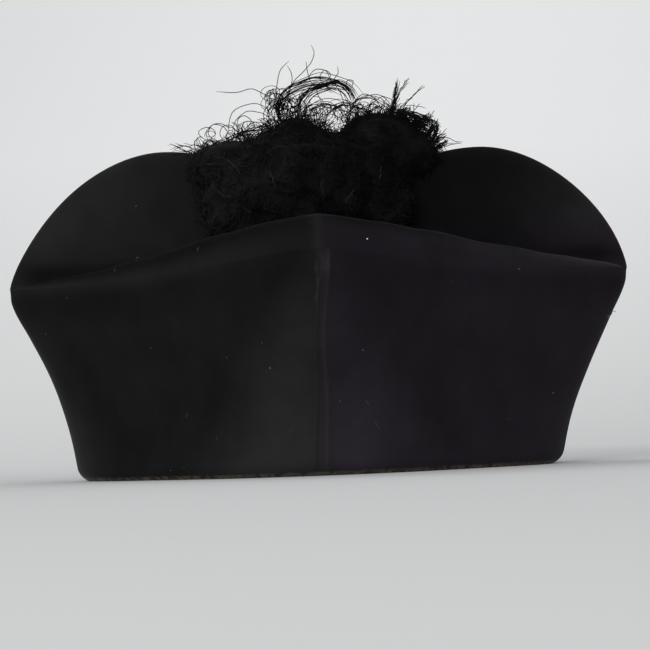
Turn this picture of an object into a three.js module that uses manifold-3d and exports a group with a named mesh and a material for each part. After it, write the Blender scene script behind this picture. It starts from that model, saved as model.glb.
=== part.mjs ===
// A black cloth biretta: four flared wall panels, a hollow top of three panels,
// three upright horns that meet at the middle, a sweatband and a worn pompom.
// Millimetres, +Z up. The rim lies on z = 0, and the axis is midway between the widest corners.
// The hornless corner points to -Y, which is the front.
import * as THREE from "three";
import { mergeVertices } from "three/addons/utils/BufferGeometryUtils.js";
import Module from "manifold-3d";

const wasm = await Module();
wasm.setup();

// Walls
const rimReach = 99.6; // axis to a corner of the rim
const creaseReach = 128.9; // axis to a corner at the crease, the widest place
const creaseHeight = 80;
const creaseSag = 2; // how much lower the crease is halfway between two corners
const rimCornerRadius = 60;
const creaseCornerRadius = 9;
const wallThickness = 2.6;
const hemRadius = 5.5; // the walls' lower edge is turned in with this radius
const hemTurn = 0.95; // how much of the quarter circle it covers
const sideBow = 1.6; // how far each side swells outwards at its middle
const crownLean = 2.6; // how far the crease stands to the right of the rim
const seamGap = 0.3; // clearance between pieces that are sewn together
const weltWidth = 5.5; // the raised fold beside the front seam, where it is widest
const weltRise = 1.1;

// Top
const topThickness = 2.4;
const hollowRise = 5; // crease to the top's height round the middle
const bandInset = 12; // how far in from the crease the band reaches its crest
const plainBandRise = 13.5; // crease to crest at the hornless corner
const hornedBandRise = 2.5; // the same at a horned corner
const backBandRise = 4; // what the crest adds halfway along a side with two horned ends

// Horns
const hornRise = 55.6; // crease to the highest point of the tallest horn
const hornPeakReach = 66; // axis to that highest point
const hornInnerDrop = 27; // how far a horn's edge falls from its peak to the axis
const hornBaseThickness = 4.8;
const hornFootWidth = 10;
const hornLeastClimb = 0.8; // how far its edge stays above its foot at the tip
const hornRoundness = { outwards: 1.95, upwards: 1.4 }; // powers of its edge's curve

// Sweatband
const sweatbandHeight = 32;
const sweatbandThickness = 1.2;
const sweatbandLift = 1.5; // its lower edge above the rim
const sweatbandSlack = 0.8; // clearance to the walls, which it is sewn to along one edge

// Pompom
const pompomRise = 42; // crease to the centre of its head
const pompomHalfWidth = 55;
const pompomHalfDepth = 36;
const pompomHalfHeight = 29;
const pompomSlump = 5; // how far the head has slid towards the front
const lockRadius = 9;
const lockTip = 0.25; // the share of its girth that a lock keeps at its tip
const lockUnevenness = 0.22; // how much the locks of a tier differ in reach

// How far up the wall is and, from the rim to the crease, how far out it has flared.
const wallSections = [
  { up: 0, out: 0 },
  { up: 0.25, out: 0.154 },
  { up: 0.5, out: 0.403 },
  { up: 0.75, out: 0.727 },
  { up: 0.9, out: 0.925 },
  { up: 1, out: 1 },
];

// Half of a horn's cross-section, from its foot to its edge. Foot is the share of the foot that
// stands beyond the base, face the share of the base's half thickness, climb the share of the height.
const hornSection = [
  { foot: 1, face: 1, climb: 0 },
  { foot: 0.35, face: 1, climb: 0.03 },
  { foot: 0, face: 1, climb: 0.12 },
  { foot: 0, face: 0.9, climb: 0.5 },
  { foot: 0, face: 0.76, climb: 0.93 },
  { foot: 0, face: 0.52, climb: 0.985 },
  { foot: 0, face: 0.16, climb: 1 },
];

const corners = [
  { name: "front", turn: -90, horned: false, rise: 0 },
  { name: "right", turn: 0, horned: true, rise: 0.947 },
  { name: "back", turn: 90, horned: true, rise: 0.97 },
  { name: "left", turn: 180, horned: true, rise: 1 },
].map((corner) => {
  const turn = THREE.MathUtils.degToRad(corner.turn);
  return { ...corner, x: Math.round(Math.cos(turn)), y: Math.round(Math.sin(turn)) };
});

// The matted lumps of the pompom's head, as shares of its half width, depth and height: where each
// one's centre is to the right, to the back and up, and how wide, deep and tall it is.
const lumps = [
  { right: -0.12, back: -0.03, up: -0.2, wide: 0.78, deep: 0.94, tall: 0.9 },
  { right: -0.66, back: -0.08, up: 0.03, wide: 0.35, deep: 0.58, tall: 0.52 },
  { right: -0.18, back: 0.03, up: 0.48, wide: 0.27, deep: 0.39, tall: 0.42 },
  { right: 0.49, back: 0.08, up: 0.4, wide: 0.35, deep: 0.47, tall: 0.54 },
  { right: 0.74, back: 0.08, up: 0.3, wide: 0.2, deep: 0.34, tall: 0.34 },
  { right: -0.66, back: -0.2, up: -0.52, wide: 0.31, deep: 0.5, tall: 0.48 },
  { right: 0.31, back: -0.08, up: -0.5, wide: 0.4, deep: 0.61, tall: 0.5 },
];

// Tiers of locks: how many, how steeply they leave the head in degrees, how far they reach beyond
// it, how far their tips droop and swing sideways, and how thick they are beside the thickest.
const lockTiers = [
  { count: 8, lift: -22, reach: 2, droop: 6, swing: 12, girth: 0.9 },
  { count: 10, lift: 2, reach: 3, droop: 7, swing: -14, girth: 1 },
  { count: 9, lift: 30, reach: 3, droop: 3, swing: 14, girth: 1 },
  { count: 5, lift: 60, reach: 2, droop: 1, swing: -12, girth: 0.9 },
];

// Wisps and loops of yarn that stand out of the head, as shares of its half width and height from
// its centre: where each one starts, bends and ends, how far back it lies, and its girth.
const wisps = [
  { right: 0.5, up: 0.7, bendTo: [0.58, 1.12], endAt: [0.65, 1.46], back: 0, girth: 0.3 },
  { right: -0.1, up: 0.7, bendTo: [0.12, 1.42], endAt: [0.31, 0.65], back: 0, girth: 0.25 },
  { right: -0.28, up: 0.7, bendTo: [-0.17, 1.33], endAt: [0.12, 1.42], back: 0, girth: 0.25 },
  { right: 0.74, up: 0.4, bendTo: [0.92, 0.55], endAt: [1.06, 0.75], back: 0, girth: 0.35 },
  { right: 0.74, up: 0.25, bendTo: [0.95, 0.38], endAt: [1.08, 0.45], back: -0.1, girth: 0.35 },
  { right: -0.8, up: 0.2, bendTo: [-0.96, 0.45], endAt: [-1.07, 0.56], back: -0.1, girth: 0.3 },
  { right: -0.75, up: -0.5, bendTo: [-0.86, -0.8], endAt: [-0.84, -0.98], back: -0.3, girth: 0.4 },
];

const hemSteps = [0, 0.25, 0.6, 1]; // rows of the hem, as shares of its height
const wallStations = 18;
const topStations = 16;
const hornStations = 12;
const bandSteps = [0, 0.2, 0.45, 0.72]; // rows of a top panel, as shares of the way up its band
const innerRows = 6; // and those from the crest to the middle

const materials = {
  cloth: new THREE.MeshStandardMaterial({ color: 0x1c1b1d, roughness: 0.95, metalness: 0 }),
  sweatband: new THREE.MeshStandardMaterial({ color: 0x2b201c, roughness: 0.6, metalness: 0 }),
  wool: new THREE.MeshStandardMaterial({ color: 0x0e0d0e, roughness: 1, metalness: 0 }),
};

const mix = (from, to, share) => from + (to - from) * share;
const clamp = (share) => Math.min(1, Math.max(0, share));
const quarter = Math.PI / 2;

// Every outline round the axis is a square with rounded corners, and the corners lie on the axes.
// This is its distance from the axis, at a turn of up to 45 degrees from the nearest corner.
function outlineReach(reach, radius, turn) {
  const side = (reach - radius + radius * Math.SQRT2) / (Math.cos(turn) + Math.sin(turn));
  if (side * Math.sin(turn) >= radius / Math.SQRT2) return side;
  const centre = reach - radius;
  return centre * Math.cos(turn) + Math.sqrt(radius ** 2 - (centre * Math.sin(turn)) ** 2);
}

// How far along a corner's axis the outline is at a distance to the side of that axis.
function alongCorner(reach, radius, aside) {
  if (aside <= radius / Math.SQRT2) return reach - radius + Math.sqrt(radius ** 2 - aside ** 2);
  return reach - radius + radius * Math.SQRT2 - aside;
}

// The share by which the crease's outline is scaled to pass through a point beside a corner's axis.
function outlineShare(along, aside) {
  const centre = creaseReach - creaseCornerRadius;
  const straight = (along + aside) / (centre + creaseCornerRadius * Math.SQRT2);
  if (aside >= (straight * creaseCornerRadius) / Math.SQRT2) return straight;
  const spread = centre ** 2 - creaseCornerRadius ** 2;
  const inside = (along * centre) ** 2 - spread * (along ** 2 + aside ** 2);
  return (along * centre - Math.sqrt(inside)) / spread;
}

// The small turn from a corner's axis to the place on an outline that lies aside of it.
const turnAside = (reach, radius, aside) => Math.atan2(aside, alongCorner(reach, radius, aside));

// The made shape leans to the right with height, and each side swells between its corners.
function place(from, to, turn, reach, height) {
  const t = turn / quarter;
  const swell = (16 * sideBow * (t * (1 - t)) ** 2 * reach) / creaseReach;
  const along = reach * Math.cos(turn) + swell / Math.SQRT2;
  const across = reach * Math.sin(turn) + swell / Math.SQRT2;
  const lean = crownLean * (height / creaseHeight - 1);
  return new THREE.Vector3(from.x * along + to.x * across + lean, from.y * along + to.y * across, height);
}

const onOutline = (from, to, turn, reach, radius, height) =>
  place(from, to, turn, outlineReach(reach, radius, Math.min(turn, quarter - turn)), height);

// Stations crowd towards the corners, where the outline is round.
const crowded = (share) => 0.5 - 0.5 * Math.cos(Math.PI * share);

const creaseAt = (t) => creaseHeight - creaseSag * Math.sin(Math.PI * t);

// How far the crest stands above the crease, at a share of the way between two corners.
function bandRise(from, to, t) {
  const extra = plainBandRise - hornedBandRise;
  let rise = hornedBandRise;
  if (!from.horned) rise += extra * Math.cos(quarter * t);
  if (!to.horned) rise += extra * Math.sin(quarter * t);
  if (from.horned && to.horned) rise += backBandRise * Math.sin(Math.PI * t);
  return rise;
}

// The top rises from the crease to its crest, then sinks towards the middle.
function topHeight(from, to, t, share) {
  const inset = bandInset / creaseReach;
  const start = creaseAt(t) + seamGap;
  const rise = bandRise(from, to, t);
  const climb = clamp((1 - share) / inset);
  const sink = clamp((1 - share - inset) / (1 - inset));
  const crest = start + rise * (1 - (1 - climb) ** 2);
  return crest - (start + rise - creaseHeight - hollowRise) * sink ** 2 * (3 - 2 * sink);
}

// The underside lies inwards of the crease, and below the rest of the top.
function topPoint(from, to, turn, share, under) {
  const t = turn / quarter;
  const flat = clamp(((1 - share) * creaseReach) / bandInset);
  const inwards = under ? topThickness * (1 - flat) : 0;
  const height = topHeight(from, to, t, share) - (under ? topThickness * flat : 0);
  const radius = Math.max(creaseCornerRadius * share - inwards, 0);
  return onOutline(from, to, turn, creaseReach * share - inwards, radius, height);
}

function closedGeometry(points, triangles) {
  let volume = 0;
  for (const [a, b, c] of triangles) volume += points[a].dot(points[b].clone().cross(points[c]));
  const facing = volume < 0 ? triangles.map(([a, b, c]) => [a, c, b]) : triangles;
  const geometry = new THREE.BufferGeometry().setFromPoints(points);
  return geometry.setIndex(facing.flat());
}

// A closed solid between two grids of points. A ring's last column is followed by its first.
function sheetSolid(front, back, ring = false) {
  const rows = front.length;
  const columns = front[0].length;
  const at = (side, i, j) => (side * rows + i) * columns + (j % columns);
  const triangles = [];
  const quad = (a, b, c, d) => triangles.push([a, b, c], [a, c, d]);
  const last = columns - 1;
  const lastColumn = ring ? columns : last;
  for (let i = 0; i < rows - 1; i++) {
    for (let j = 0; j < lastColumn; j++) {
      quad(at(0, i, j), at(0, i, j + 1), at(0, i + 1, j + 1), at(0, i + 1, j));
      quad(at(1, i, j), at(1, i + 1, j), at(1, i + 1, j + 1), at(1, i, j + 1));
    }
  }
  for (let j = 0; j < lastColumn; j++) {
    quad(at(0, 0, j), at(1, 0, j), at(1, 0, j + 1), at(0, 0, j + 1));
    quad(at(0, rows - 1, j), at(0, rows - 1, j + 1), at(1, rows - 1, j + 1), at(1, rows - 1, j));
  }
  for (let i = 0; i < rows - 1 && !ring; i++) {
    quad(at(0, i, 0), at(0, i + 1, 0), at(1, i + 1, 0), at(1, i, 0));
    quad(at(0, i, last), at(1, i, last), at(1, i + 1, last), at(0, i + 1, last));
  }
  return closedGeometry([...front.flat(), ...back.flat()], triangles);
}

const grid = (rows, columns, point) =>
  rows.map((row) => Array.from({ length: columns + 1 }, (_, j) => point(row, j / columns)));

// The walls' section at a height given as a share of the crease's, between two of the table's.
function wallSectionAt(up) {
  const above = Math.max(1, wallSections.findIndex((section) => section.up >= up));
  const [low, high] = [wallSections[above - 1], wallSections[above]];
  return { up, out: mix(low.out, high.out, (up - low.up) / (high.up - low.up)) };
}

const wallRows = [
  ...hemSteps.map((step) => wallSectionAt((step * hemRadius) / creaseHeight)),
  ...wallSections.slice(1),
];

// How far the hem has turned in at a height: along a circle that ends upright.
function hemInset(height) {
  const below = clamp(1 - height / hemRadius) * hemTurn;
  return hemRadius * (1 - Math.sqrt(1 - below ** 2));
}

// A point of the walls, at a share of the way from one corner's seam to the next.
function wallPoint(from, to, share, section, inset) {
  const inwards = inset + hemInset(section.up * creaseHeight);
  const reach = mix(rimReach, creaseReach, section.out) - inwards;
  const radius = mix(rimCornerRadius, creaseCornerRadius, section.up) - inwards;
  const end = turnAside(reach, radius, seamGap / 2);
  const turn = mix(end, quarter - end, crowded(share));
  return onOutline(from, to, turn, reach, radius, section.up * creaseAt(turn / quarter));
}

// The seam at the hornless corner is folded to the right, and the fold narrows towards the rim.
function weltAt(from, share, up) {
  if (from.horned) return 0;
  const width = weltWidth * mix(0.35, 1, up);
  const aside = quarter * crowded(share) * mix(rimReach, creaseReach, up);
  return weltRise * mix(0.3, 1, up) * clamp(2 - (2 * aside) / width);
}

function wallPanel(from, to) {
  const side = (inset) =>
    grid(wallRows, wallStations, (section, share) =>
      wallPoint(from, to, share, section, inset || -weltAt(from, share, section.up)),
    );
  return sheetSolid(side(0), side(wallThickness));
}

// One quarter of a top panel, as points of one scaled outline between two corners.
function topRow(from, to, share, under) {
  const aside = hornFootWidth / 2 + seamGap;
  const reach = creaseReach * share;
  const radius = creaseCornerRadius * share;
  const start = from.horned ? turnAside(reach, radius, aside) : 0;
  const end = to.horned ? turnAside(reach, radius, aside) : 0;
  return Array.from({ length: topStations + 1 }, (_, j) =>
    topPoint(from, to, mix(start, quarter - end, crowded(j / topStations)), share, under),
  );
}

// A top panel covers the quarters between two horns, from the crease in to where the horns meet.
function topPanel(quarters) {
  const hornHalf = hornFootWidth / 2 + seamGap;
  const innermost = ((quarters.length === 1 ? 2.6 : 1.6) * hornHalf) / creaseReach;
  const inset = bandInset / creaseReach;
  const bandShares = bandSteps.map((step) => 1 - inset * step);
  const innerShares = Array.from({ length: innerRows }, (_, i) =>
    mix(1 - inset, innermost, i / (innerRows - 1)),
  );
  const side = (under) =>
    [...bandShares, ...innerShares].map((share) =>
      quarters.flatMap(([from, to], n) => topRow(from, to, share, under).slice(n ? 1 : 0)),
    );
  return sheetSolid(side(false), side(true));
}

// The height of a horn's edge at a distance from the axis.
function hornEdge(corner, along) {
  const rise = hornRise * corner.rise;
  if (along >= hornPeakReach) {
    const outwards = clamp((along - hornPeakReach) / (creaseReach - hornPeakReach));
    const climb = (1 - outwards ** hornRoundness.outwards) ** (1 / hornRoundness.upwards);
    return creaseHeight + seamGap + rise * climb;
  }
  const inwards = 1 - along / hornPeakReach;
  return creaseHeight + seamGap + rise - hornInnerDrop * inwards ** 2;
}

// A point of a horn: how far along it, which row of its section, and on which side of its axis.
function hornPoint(corner, previous, next, share, row, side, grown) {
  const inner = hornFootWidth / 2 + seamGap - grown;
  const base = hornBaseThickness / 2;
  const spread = base * row.face + (hornFootWidth / 2 - base) * row.foot + grown;
  const footAside = hornFootWidth / 2 + grown;
  const alongAt = (aside) => mix(inner, alongCorner(creaseReach, creaseCornerRadius, aside), share);
  const [from, to] = side > 0 ? [corner, next] : [corner, previous];
  const footShare = outlineShare(alongAt(footAside), footAside);
  const footT = footAside / (alongAt(footAside) + footAside);
  const foot = topHeight(from, to, footT, footShare);
  const edge = Math.max(hornEdge(corner, alongAt(0)) + grown, foot + hornLeastClimb);
  if (row.under) {
    const turn = Math.atan2(footAside, alongAt(footAside));
    const point = topPoint(from, to, turn, footShare, true);
    point.z -= grown;
    return point;
  }
  const along = alongAt(spread);
  return place(from, to, Math.atan2(spread, along), Math.hypot(along, spread), mix(foot, edge, row.climb));
}

// A horn stands on the seam between two top panels, from the middle out to its corner.
function horn(n, grown = 0) {
  const corner = corners[n];
  const previous = corners[(n + 3) % 4];
  const next = corners[(n + 1) % 4];
  const rows = [{ under: true, foot: 1, face: 1, climb: 0 }, ...hornSection];
  const side = (sign) =>
    Array.from({ length: hornStations + 1 }, (_, i) => {
      const share = Math.sin((quarter * i) / hornStations);
      return rows.map((row) => hornPoint(corner, previous, next, share, row, sign, grown));
    });
  return sheetSolid(side(1), side(-1));
}

// The sweatband lines the walls from just above the rim.
function sweatband() {
  const lowest = sweatbandLift / creaseHeight;
  const highest = lowest + sweatbandHeight / creaseHeight;
  const between = wallRows.filter((section) => section.up > lowest && section.up < highest);
  const sections = [wallSectionAt(lowest), ...between, wallSectionAt(highest)];
  const side = (inset) =>
    sections.map((section) =>
      corners.flatMap((from, n) =>
        Array.from({ length: wallStations + 1 }, (_, j) =>
          wallPoint(from, corners[(n + 1) % 4], j / wallStations, section, inset),
        ),
      ),
    );
  const outer = wallThickness + sweatbandSlack;
  return sheetSolid(side(outer), side(outer + sweatbandThickness), true);
}

function toSolid(geometry) {
  const bare = geometry.index ? geometry.clone() : geometry;
  bare.deleteAttribute("normal");
  bare.deleteAttribute("uv");
  const merged = mergeVertices(bare, 1e-3);
  return new wasm.Manifold(
    new wasm.Mesh({
      numProp: 3,
      vertProperties: new Float32Array(merged.attributes.position.array),
      triVerts: new Uint32Array(merged.index.array),
    }),
  );
}

function fromSolid(solid) {
  const mesh = solid.getMesh();
  const position = new Float32Array(mesh.numVert * 3);
  for (let i = 0; i < mesh.numVert; i++) {
    position.set(mesh.vertProperties.subarray(i * mesh.numProp, i * mesh.numProp + 3), i * 3);
  }
  const geometry = new THREE.BufferGeometry();
  geometry.setAttribute("position", new THREE.BufferAttribute(position, 3));
  return geometry.setIndex(new THREE.BufferAttribute(new Uint32Array(mesh.triVerts), 1));
}

// A closed tube through a few points that narrows to its tip.
function lock(points, radius, stations) {
  const sides = 5;
  const curve = new THREE.CatmullRomCurve3(points);
  const frames = curve.computeFrenetFrames(stations, false);
  const rings = Array.from({ length: stations + 1 }, (_, i) => {
    const centre = curve.getPointAt(i / stations);
    const girth = radius * mix(1, lockTip, (i / stations) ** 1.6);
    return Array.from({ length: sides }, (_, j) => {
      const turn = (2 * Math.PI * j) / sides;
      const across = frames.normals[i].clone().multiplyScalar(girth * Math.cos(turn));
      return centre.clone().add(across).addScaledVector(frames.binormals[i], girth * Math.sin(turn));
    });
  });
  const vertices = [...rings.flat(), points[0], points[points.length - 1]];
  const first = vertices.length - 2;
  const triangles = [];
  for (let i = 0; i < stations; i++) {
    for (let j = 0; j < sides; j++) {
      const [a, b] = [i * sides + j, i * sides + ((j + 1) % sides)];
      triangles.push([a, b, b + sides], [a, b + sides, a + sides]);
    }
  }
  for (let j = 0; j < sides; j++) {
    const after = (j + 1) % sides;
    triangles.push([first, after, j], [first + 1, stations * sides + j, stations * sides + after]);
  }
  return closedGeometry(vertices, triangles);
}

// A place or size in the pompom's head, from shares of its half width, depth and height.
const inHead = (right, back, up) =>
  new THREE.Vector3(right * pompomHalfWidth, back * pompomHalfDepth, up * pompomHalfHeight);

// How far the head reaches from its centre in one direction, which is where the last lump ends.
function headReach(way) {
  const exits = lumps.map((lump) => {
    const halves = inHead(lump.wide, lump.deep, lump.tall);
    const ray = way.clone().divide(halves);
    const offset = inHead(lump.right, lump.back, lump.up).divide(halves);
    const nearest = ray.dot(offset) / ray.lengthSq();
    const inside = nearest ** 2 - (offset.lengthSq() - 1) / ray.lengthSq();
    return inside > 0 ? nearest + Math.sqrt(inside) : 0;
  });
  return Math.max(...exits);
}

// The points of lock i of tier n, from inside the head to its tip.
function lockPoints(tier, n, i) {
  const turn = (2 * Math.PI * (i + 0.5 * (n % 2) + 0.2 * Math.sin(5 * i + n))) / tier.count;
  const lift = THREE.MathUtils.degToRad(tier.lift + 7 * Math.sin(3 * i + 2 * n));
  const level = Math.cos(lift);
  const way = new THREE.Vector3(level * Math.cos(turn), level * Math.sin(turn), Math.sin(lift));
  const skin = headReach(way);
  const reach = tier.reach * (1 + lockUnevenness * Math.sin(2.3 * i + n));
  const start = way.clone().multiplyScalar(0.6 * skin);
  const half = way.clone().multiplyScalar(0.9 * skin + 0.4 * reach);
  const tip = way.clone().multiplyScalar(skin + reach);
  half.z -= 0.2 * tier.droop;
  tip.z -= tier.droop;
  const sideways = new THREE.Vector3(-Math.sin(turn), Math.cos(turn), 0);
  tip.addScaledVector(sideways, tier.swing * (1 + lockUnevenness * Math.cos(1.7 * i)));
  return [start, half, tip];
}

// The pompom's head is a few matted lumps, with locks and wisps out of them, on a short stem.
function pompom() {
  const middle = new THREE.Vector3(0, -pompomSlump, creaseHeight + pompomRise);
  const stemFoot = creaseHeight + hollowRise - topThickness;
  const stem = new THREE.CylinderGeometry(hornFootWidth / 2, hornFootWidth / 2, middle.z - stemFoot, 12);
  stem.rotateX(quarter);
  stem.translate(0, 0, (middle.z + stemFoot) / 2);
  const balls = lumps.map((lump) => {
    const ball = new THREE.SphereGeometry(1, 12, 6);
    ball.rotateX(quarter);
    ball.scale(...inHead(lump.wide, lump.deep, lump.tall));
    return ball.translate(...inHead(lump.right, lump.back, lump.up).add(middle));
  });
  const strand = (points, girth, stations) =>
    lock(points.map((point) => point.add(middle)), lockRadius * girth, stations);
  const locks = lockTiers.flatMap((tier, n) =>
    Array.from({ length: tier.count }, (_, i) => strand(lockPoints(tier, n, i), tier.girth, 2)),
  );
  const loose = wisps.map((wisp) => {
    const stops = [[wisp.right, wisp.up], wisp.bendTo, wisp.endAt];
    const points = stops.map(([right, up]) => inHead(right, wisp.back, up));
    return strand(points, wisp.girth, 5);
  });
  let solid = toSolid(stem);
  for (const piece of [...balls, ...locks, ...loose]) solid = solid.add(toSolid(piece));
  corners.forEach((corner, n) => {
    if (corner.horned) solid = solid.subtract(toSolid(horn(n, seamGap)));
  });
  // A lock that a horn cuts through loses the end beyond it.
  const bodies = solid.decompose().sort((one, other) => other.volume() - one.volume());
  return fromSolid(bodies[0]);
}

function mesh(name, geometry, material) {
  const made = new THREE.Mesh(geometry, material);
  made.name = name;
  geometry.computeVertexNormals();
  return made;
}

const [front, right, back, left] = corners;
const biretta = new THREE.Group();
biretta.name = "biretta";
biretta.add(
  mesh("wall_front_right", wallPanel(front, right), materials.cloth),
  mesh("wall_back_right", wallPanel(right, back), materials.cloth),
  mesh("wall_back_left", wallPanel(back, left), materials.cloth),
  mesh("wall_front_left", wallPanel(left, front), materials.cloth),
  mesh("top_front", topPanel([[left, front], [front, right]]), materials.cloth),
  mesh("top_back_right", topPanel([[right, back]]), materials.cloth),
  mesh("top_back_left", topPanel([[back, left]]), materials.cloth),
  mesh("horn_right", horn(1), materials.cloth),
  mesh("horn_back", horn(2), materials.cloth),
  mesh("horn_left", horn(3), materials.cloth),
  mesh("sweatband", sweatband(), materials.sweatband),
  mesh("pompom", pompom(), materials.wool),
);

export default biretta;
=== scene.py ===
import math

import bpy
import numpy as np
from mathutils import Matrix, Vector


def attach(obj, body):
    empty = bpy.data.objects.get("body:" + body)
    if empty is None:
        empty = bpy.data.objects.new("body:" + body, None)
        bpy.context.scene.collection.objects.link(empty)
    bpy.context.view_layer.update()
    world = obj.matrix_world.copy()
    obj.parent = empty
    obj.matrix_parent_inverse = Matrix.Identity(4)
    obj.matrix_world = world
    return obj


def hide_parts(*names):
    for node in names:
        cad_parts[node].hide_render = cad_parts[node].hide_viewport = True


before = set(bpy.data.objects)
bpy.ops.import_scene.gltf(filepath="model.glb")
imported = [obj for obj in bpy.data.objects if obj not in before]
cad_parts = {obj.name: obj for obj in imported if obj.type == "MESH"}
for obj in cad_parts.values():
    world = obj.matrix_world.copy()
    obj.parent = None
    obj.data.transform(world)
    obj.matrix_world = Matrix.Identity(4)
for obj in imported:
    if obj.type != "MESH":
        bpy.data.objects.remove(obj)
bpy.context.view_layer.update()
mm = 0.001
rng = np.random.default_rng(7)
shown = bpy.context.scene.collection


# Camera
view = {
    "distance": 0.8,  # from the cap's axis
    "height": 0.012,  # above the floor
    "aimAcross": 0.0014,
    "aimUp": 0.061,
    "roll": -2.2,  # degrees
    "picture": 650,  # pixels across
    "focal": 1920,  # in the same pixels
    "sensor": 36,
    "clip": (0.05, 20),
}


def makeCamera():
    lens = bpy.data.cameras.new("camera")
    lens.sensor_width = view["sensor"]
    lens.lens = view["sensor"] * view["focal"] / view["picture"]
    lens.clip_start, lens.clip_end = view["clip"]
    camera = bpy.data.objects.new("camera", lens)
    shown.objects.link(camera)
    spot = Vector((view["aimAcross"], -view["distance"], view["height"]))
    aim = Vector((view["aimAcross"], 0, view["aimUp"]))
    turn = (aim - spot).to_track_quat("-Z", "Y").to_matrix().to_4x4()
    roll = Matrix.Rotation(math.radians(view["roll"]), 4, "Z")
    camera.matrix_world = Matrix.Translation(spot) @ turn @ roll
    bpy.context.scene.camera = camera


def inPicture(across, down, y):
    # the place at depth y that a pixel shows: the camera's ray through it, followed until it has that y
    camera = bpy.context.scene.camera.matrix_world
    across, down, y = (np.asarray(v, float) for v in (across, down, y))
    half = view["picture"] / 2
    ray = np.stack([(across - half) / view["focal"], (half - down) / view["focal"], 0 * across - 1], -1)
    way = ray @ np.array(camera.to_3x3()).T
    spot = np.array(camera.translation)
    return spot + way * ((y - spot[1]) / way[..., 1])[..., None]


makeCamera()
print("camera set")


# The cap's shape, in metres, the same as its solids
cap = {
    "rimReach": 99.6 * mm,
    "creaseReach": 128.9 * mm,
    "creaseHeight": 80 * mm,
    "creaseSag": 2 * mm,
    "rimCornerRadius": 60 * mm,
    "creaseCornerRadius": 9 * mm,
    "wallThickness": 2.6 * mm,
    "sideBow": 1.6 * mm,
    "crownLean": 2.6 * mm,
    "topThickness": 2.4 * mm,
    "hollowHeight": 85 * mm,
    "bandInset": 12 * mm,
    "plainBandRise": 13.5 * mm,
    "hornedBandRise": 2.5 * mm,
    "backBandRise": 4 * mm,
    "hornRise": 55.6 * mm,
    "hornPeakReach": 66 * mm,
    "hornInnerDrop": 27 * mm,
    "hornBaseThickness": 4.8 * mm,
    "hornFootWidth": 10 * mm,
    "unrest": 0.42 * mm,  # the cloth's slow waves
    "unrestAbove": 40 * mm,  # the height at which they are full
}
weltUp = [0, 0.35, 0.6, 0.9, 1]  # how far up the wall the welt is
weltWidth = [5.8 * mm, 4.8 * mm, 3.2 * mm, 4.3 * mm, 4.8 * mm]  # and how wide there
wallUp = [0, 0.25, 0.5, 0.75, 0.9, 1]  # how far up the wall is
wallOut = [0, 0.154, 0.403, 0.727, 0.925, 1]  # and how far it has flared
quarter = math.pi / 2
corners = [  # name, direction, horned, share of the tallest horn's rise
    ("front", (0, -1), False, 0),
    ("right", (1, 0), True, 0.947),
    ("back", (0, 1), True, 0.97),
    ("left", (-1, 0), True, 1),
]


def mix(low, high, share):
    return low + (high - low) * share


def ease(x):  # 3x^2 - 2x^3 between 0 and 1
    x = np.clip(x, 0, 1)
    return x * x * (3 - 2 * x)


def bell(x, width):  # 1 at 0, and almost nothing at twice the width
    return np.exp(-((x / width) ** 2))


def smoothTable(x, xs, ys):
    # Hermite curve through (xs, ys), with the slope at a point taken from its neighbours
    xs, ys = np.asarray(xs, float), np.asarray(ys, float)
    slopes = np.gradient(ys, xs)
    i = np.clip(np.searchsorted(xs, x, side="right") - 1, 0, len(xs) - 2)
    width = xs[i + 1] - xs[i]
    t = np.clip((x - xs[i]) / width, 0, 1)
    rise = ys[i] * (1 + 2 * t) * (1 - t) ** 2 + ys[i + 1] * t * t * (3 - 2 * t)
    return rise + width * (slopes[i] * t * (1 - t) ** 2 + slopes[i + 1] * t * t * (t - 1))


def crowd(share, pull=0.6):
    # even steps mixed with cosine steps, which crowd to both ends
    return mix(share, 0.5 - 0.5 * np.cos(np.pi * share), pull)


def outlineReach(reach, radius, turn):
    # a rounded square with its corners on the axes: distance from the axis at a turn from a corner
    turn = np.minimum(turn, quarter - turn)
    side = (reach - radius + radius * math.sqrt(2)) / (np.cos(turn) + np.sin(turn))
    centre = reach - radius
    arc = centre * np.cos(turn) + np.sqrt(np.maximum(radius**2 - (centre * np.sin(turn)) ** 2, 0))
    return np.where(side * np.sin(turn) >= radius / math.sqrt(2), side, arc)


def alongCorner(reach, radius, aside):
    # how far along a corner's axis the rounded square is, at a distance aside of that axis
    arc = reach - radius + np.sqrt(np.maximum(radius**2 - aside**2, 0))
    return np.where(aside <= radius / math.sqrt(2), arc, reach - radius + radius * math.sqrt(2) - aside)


def turnAside(reach, radius, aside):
    # and at which turn from the corner
    return np.arctan2(aside, alongCorner(reach, radius, aside))


def outlineShare(along, aside):
    # the share by which the crease's outline is scaled to pass through a point beside a corner's axis
    radius = cap["creaseCornerRadius"]
    centre = cap["creaseReach"] - radius
    straight = (along + aside) / (centre + radius * math.sqrt(2))
    spread = centre**2 - radius**2
    inside = np.maximum((along * centre) ** 2 - spread * (along**2 + aside**2), 0)
    rounded = (along * centre - np.sqrt(inside)) / spread
    return np.where(aside >= straight * radius / math.sqrt(2), straight, rounded)


def place(start, end, turn, reach, height):
    # polar place between two corners, swollen at mid side and leaning to the right with height
    t = turn / quarter
    swell = 16 * cap["sideBow"] * (t * (1 - t)) ** 2 * reach / cap["creaseReach"] / math.sqrt(2)
    along = reach * np.cos(turn) + swell
    across = reach * np.sin(turn) + swell
    lean = cap["crownLean"] * (height / cap["creaseHeight"] - 1)
    (ax, ay), (bx, by) = start[1], end[1]
    return np.stack([ax * along + bx * across + lean, ay * along + by * across, height + 0 * along], -1)


def creaseAt(t):
    # the crease's height, which sags as a sine between two corners
    return cap["creaseHeight"] - cap["creaseSag"] * np.sin(np.pi * t)


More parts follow.
